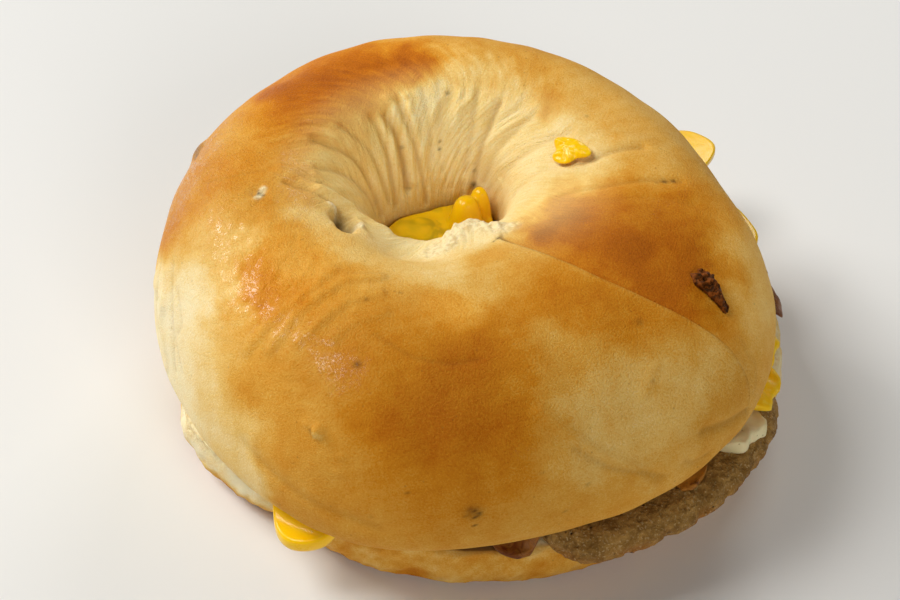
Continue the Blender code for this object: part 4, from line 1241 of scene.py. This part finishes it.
def add_pieces():
    """Every part of the bagel."""
    crust = crust_finish("baked_crust")
    bacon = bacon_finish()
    cheese = cheese_finish()
    add_piece("top_crust", *top_crust(), crust, "crust", ("bagel_top",), tube=True)
    add_piece("bottom_bread", *bottom_crust(), crust, "bottom_crust", ("bagel_bottom",), tube=True)
    add_piece("sausage_round", *patty_meat(), sausage_finish(), "sausage", ("sausage_patty",))
    front = bacon_strip((11.8, -50.6), (-9.0, 30.0), 13.5, 1, (0.20, 0.35))
    side = bacon_strip((40.6, -39.0), (30.5, -34.0), 6.5, 2, (0.75, 0.85))
    right = bacon_strip((55.2, 0.5), (50.6, 25.0), 9.0, 3, (0.10, 1.00))
    add_piece("bacon_strip_front", *front, bacon, "bacon", ("bacon_front",))
    add_piece("bacon_bit_side", *side, bacon, "bacon", ("bacon_side",))
    add_piece("bacon_strip_right", *right, bacon, "bacon", ("bacon_right",))
    add_piece("egg_layer", *egg_sheet(), egg_finish(), "egg", ("egg",))
    add_piece("cheese_layer", *cheese_slice(), cheese, "cheese", ("cheese",))
    dab = crust_crumb(10.0, 117.0, 3.5, 3.3, 1.2, 20.0, dab_outline, 0.0, 0.10, 101)
    burnt = crust_crumb(-29.6, 55.0, 4.5, 1.5, 1.6, 262.0, crumb_outline, 0.58, 0.26, 103)
    add_piece("cheese_smear", *dab, cheese, "cheese", ("cheese_dab",))
    add_piece("burnt_bacon_crumb", *burnt, crumb_finish(), "bacon", ("bacon_crumb",))


def aim(holder, target):
    """Turn an object so that its -Z points at a place."""
    away = holder.location - target
    holder.rotation_euler = away.to_track_quat("Z", "Y").to_euler()


def add_light(name, azimuth, elevation, power):
    """Square soft light round the bagel, aimed at its middle."""
    data = bpy.data.lights.new(name, "AREA")
    data.size = LIGHT_SIZE
    data.energy = power
    data.color = DAYLIGHT
    lamp = bpy.data.objects.new(name, data)
    bpy.context.scene.collection.objects.link(lamp)
    turn, tilt = np.radians(azimuth), np.radians(elevation)
    level_distance = LIGHT_DISTANCE * np.cos(tilt)
    lamp.location = (level_distance * np.cos(turn), level_distance * np.sin(turn),
                     LIGHT_DISTANCE * np.sin(tilt) + LIGHT_TARGET[2])
    aim(lamp, type(lamp.location)(LIGHT_TARGET))


def add_stage():
    """Pale table, two soft lights at the left with two weaker ones opposite, and the photograph's camera."""
    scene = bpy.context.scene
    scene.view_settings.view_transform = "Standard"
    half = 0.5 * TABLE_WIDTH
    mesh = bpy.data.meshes.new("table_top")
    corners = [(-half, -half, 0.0), (half, -half, 0.0), (half, half, 0.0), (-half, half, 0.0)]
    mesh.from_pydata(corners, [], [(0, 1, 2, 3)])
    mesh.materials.append(table_finish())
    table = bpy.data.objects.new("table_top", mesh)
    scene.collection.objects.link(table)
    for light in LIGHTS:
        add_light(*light)
    world = bpy.data.worlds.new("daylight")
    world.use_nodes = True
    background = world.node_tree.nodes["Background"]
    background.inputs["Color"].default_value = (*DAYLIGHT, 1.0)
    background.inputs["Strength"].default_value = WORLD_STRENGTH
    scene.world = world

    lens = bpy.data.cameras.new("photo_camera")
    lens.lens = CAMERA_LENS
    lens.sensor_width = CAMERA_SENSOR
    camera = bpy.data.objects.new("photo_camera", lens)
    scene.collection.objects.link(camera)
    elevation = np.radians(CAMERA_ELEVATION)
    x, y, z = CAMERA_TARGET
    camera.location = (x, y - CAMERA_DISTANCE * np.cos(elevation), z + CAMERA_DISTANCE * np.sin(elevation))
    aim(camera, type(camera.location)(CAMERA_TARGET))
    scene.camera = camera


add_pieces()
add_stage()
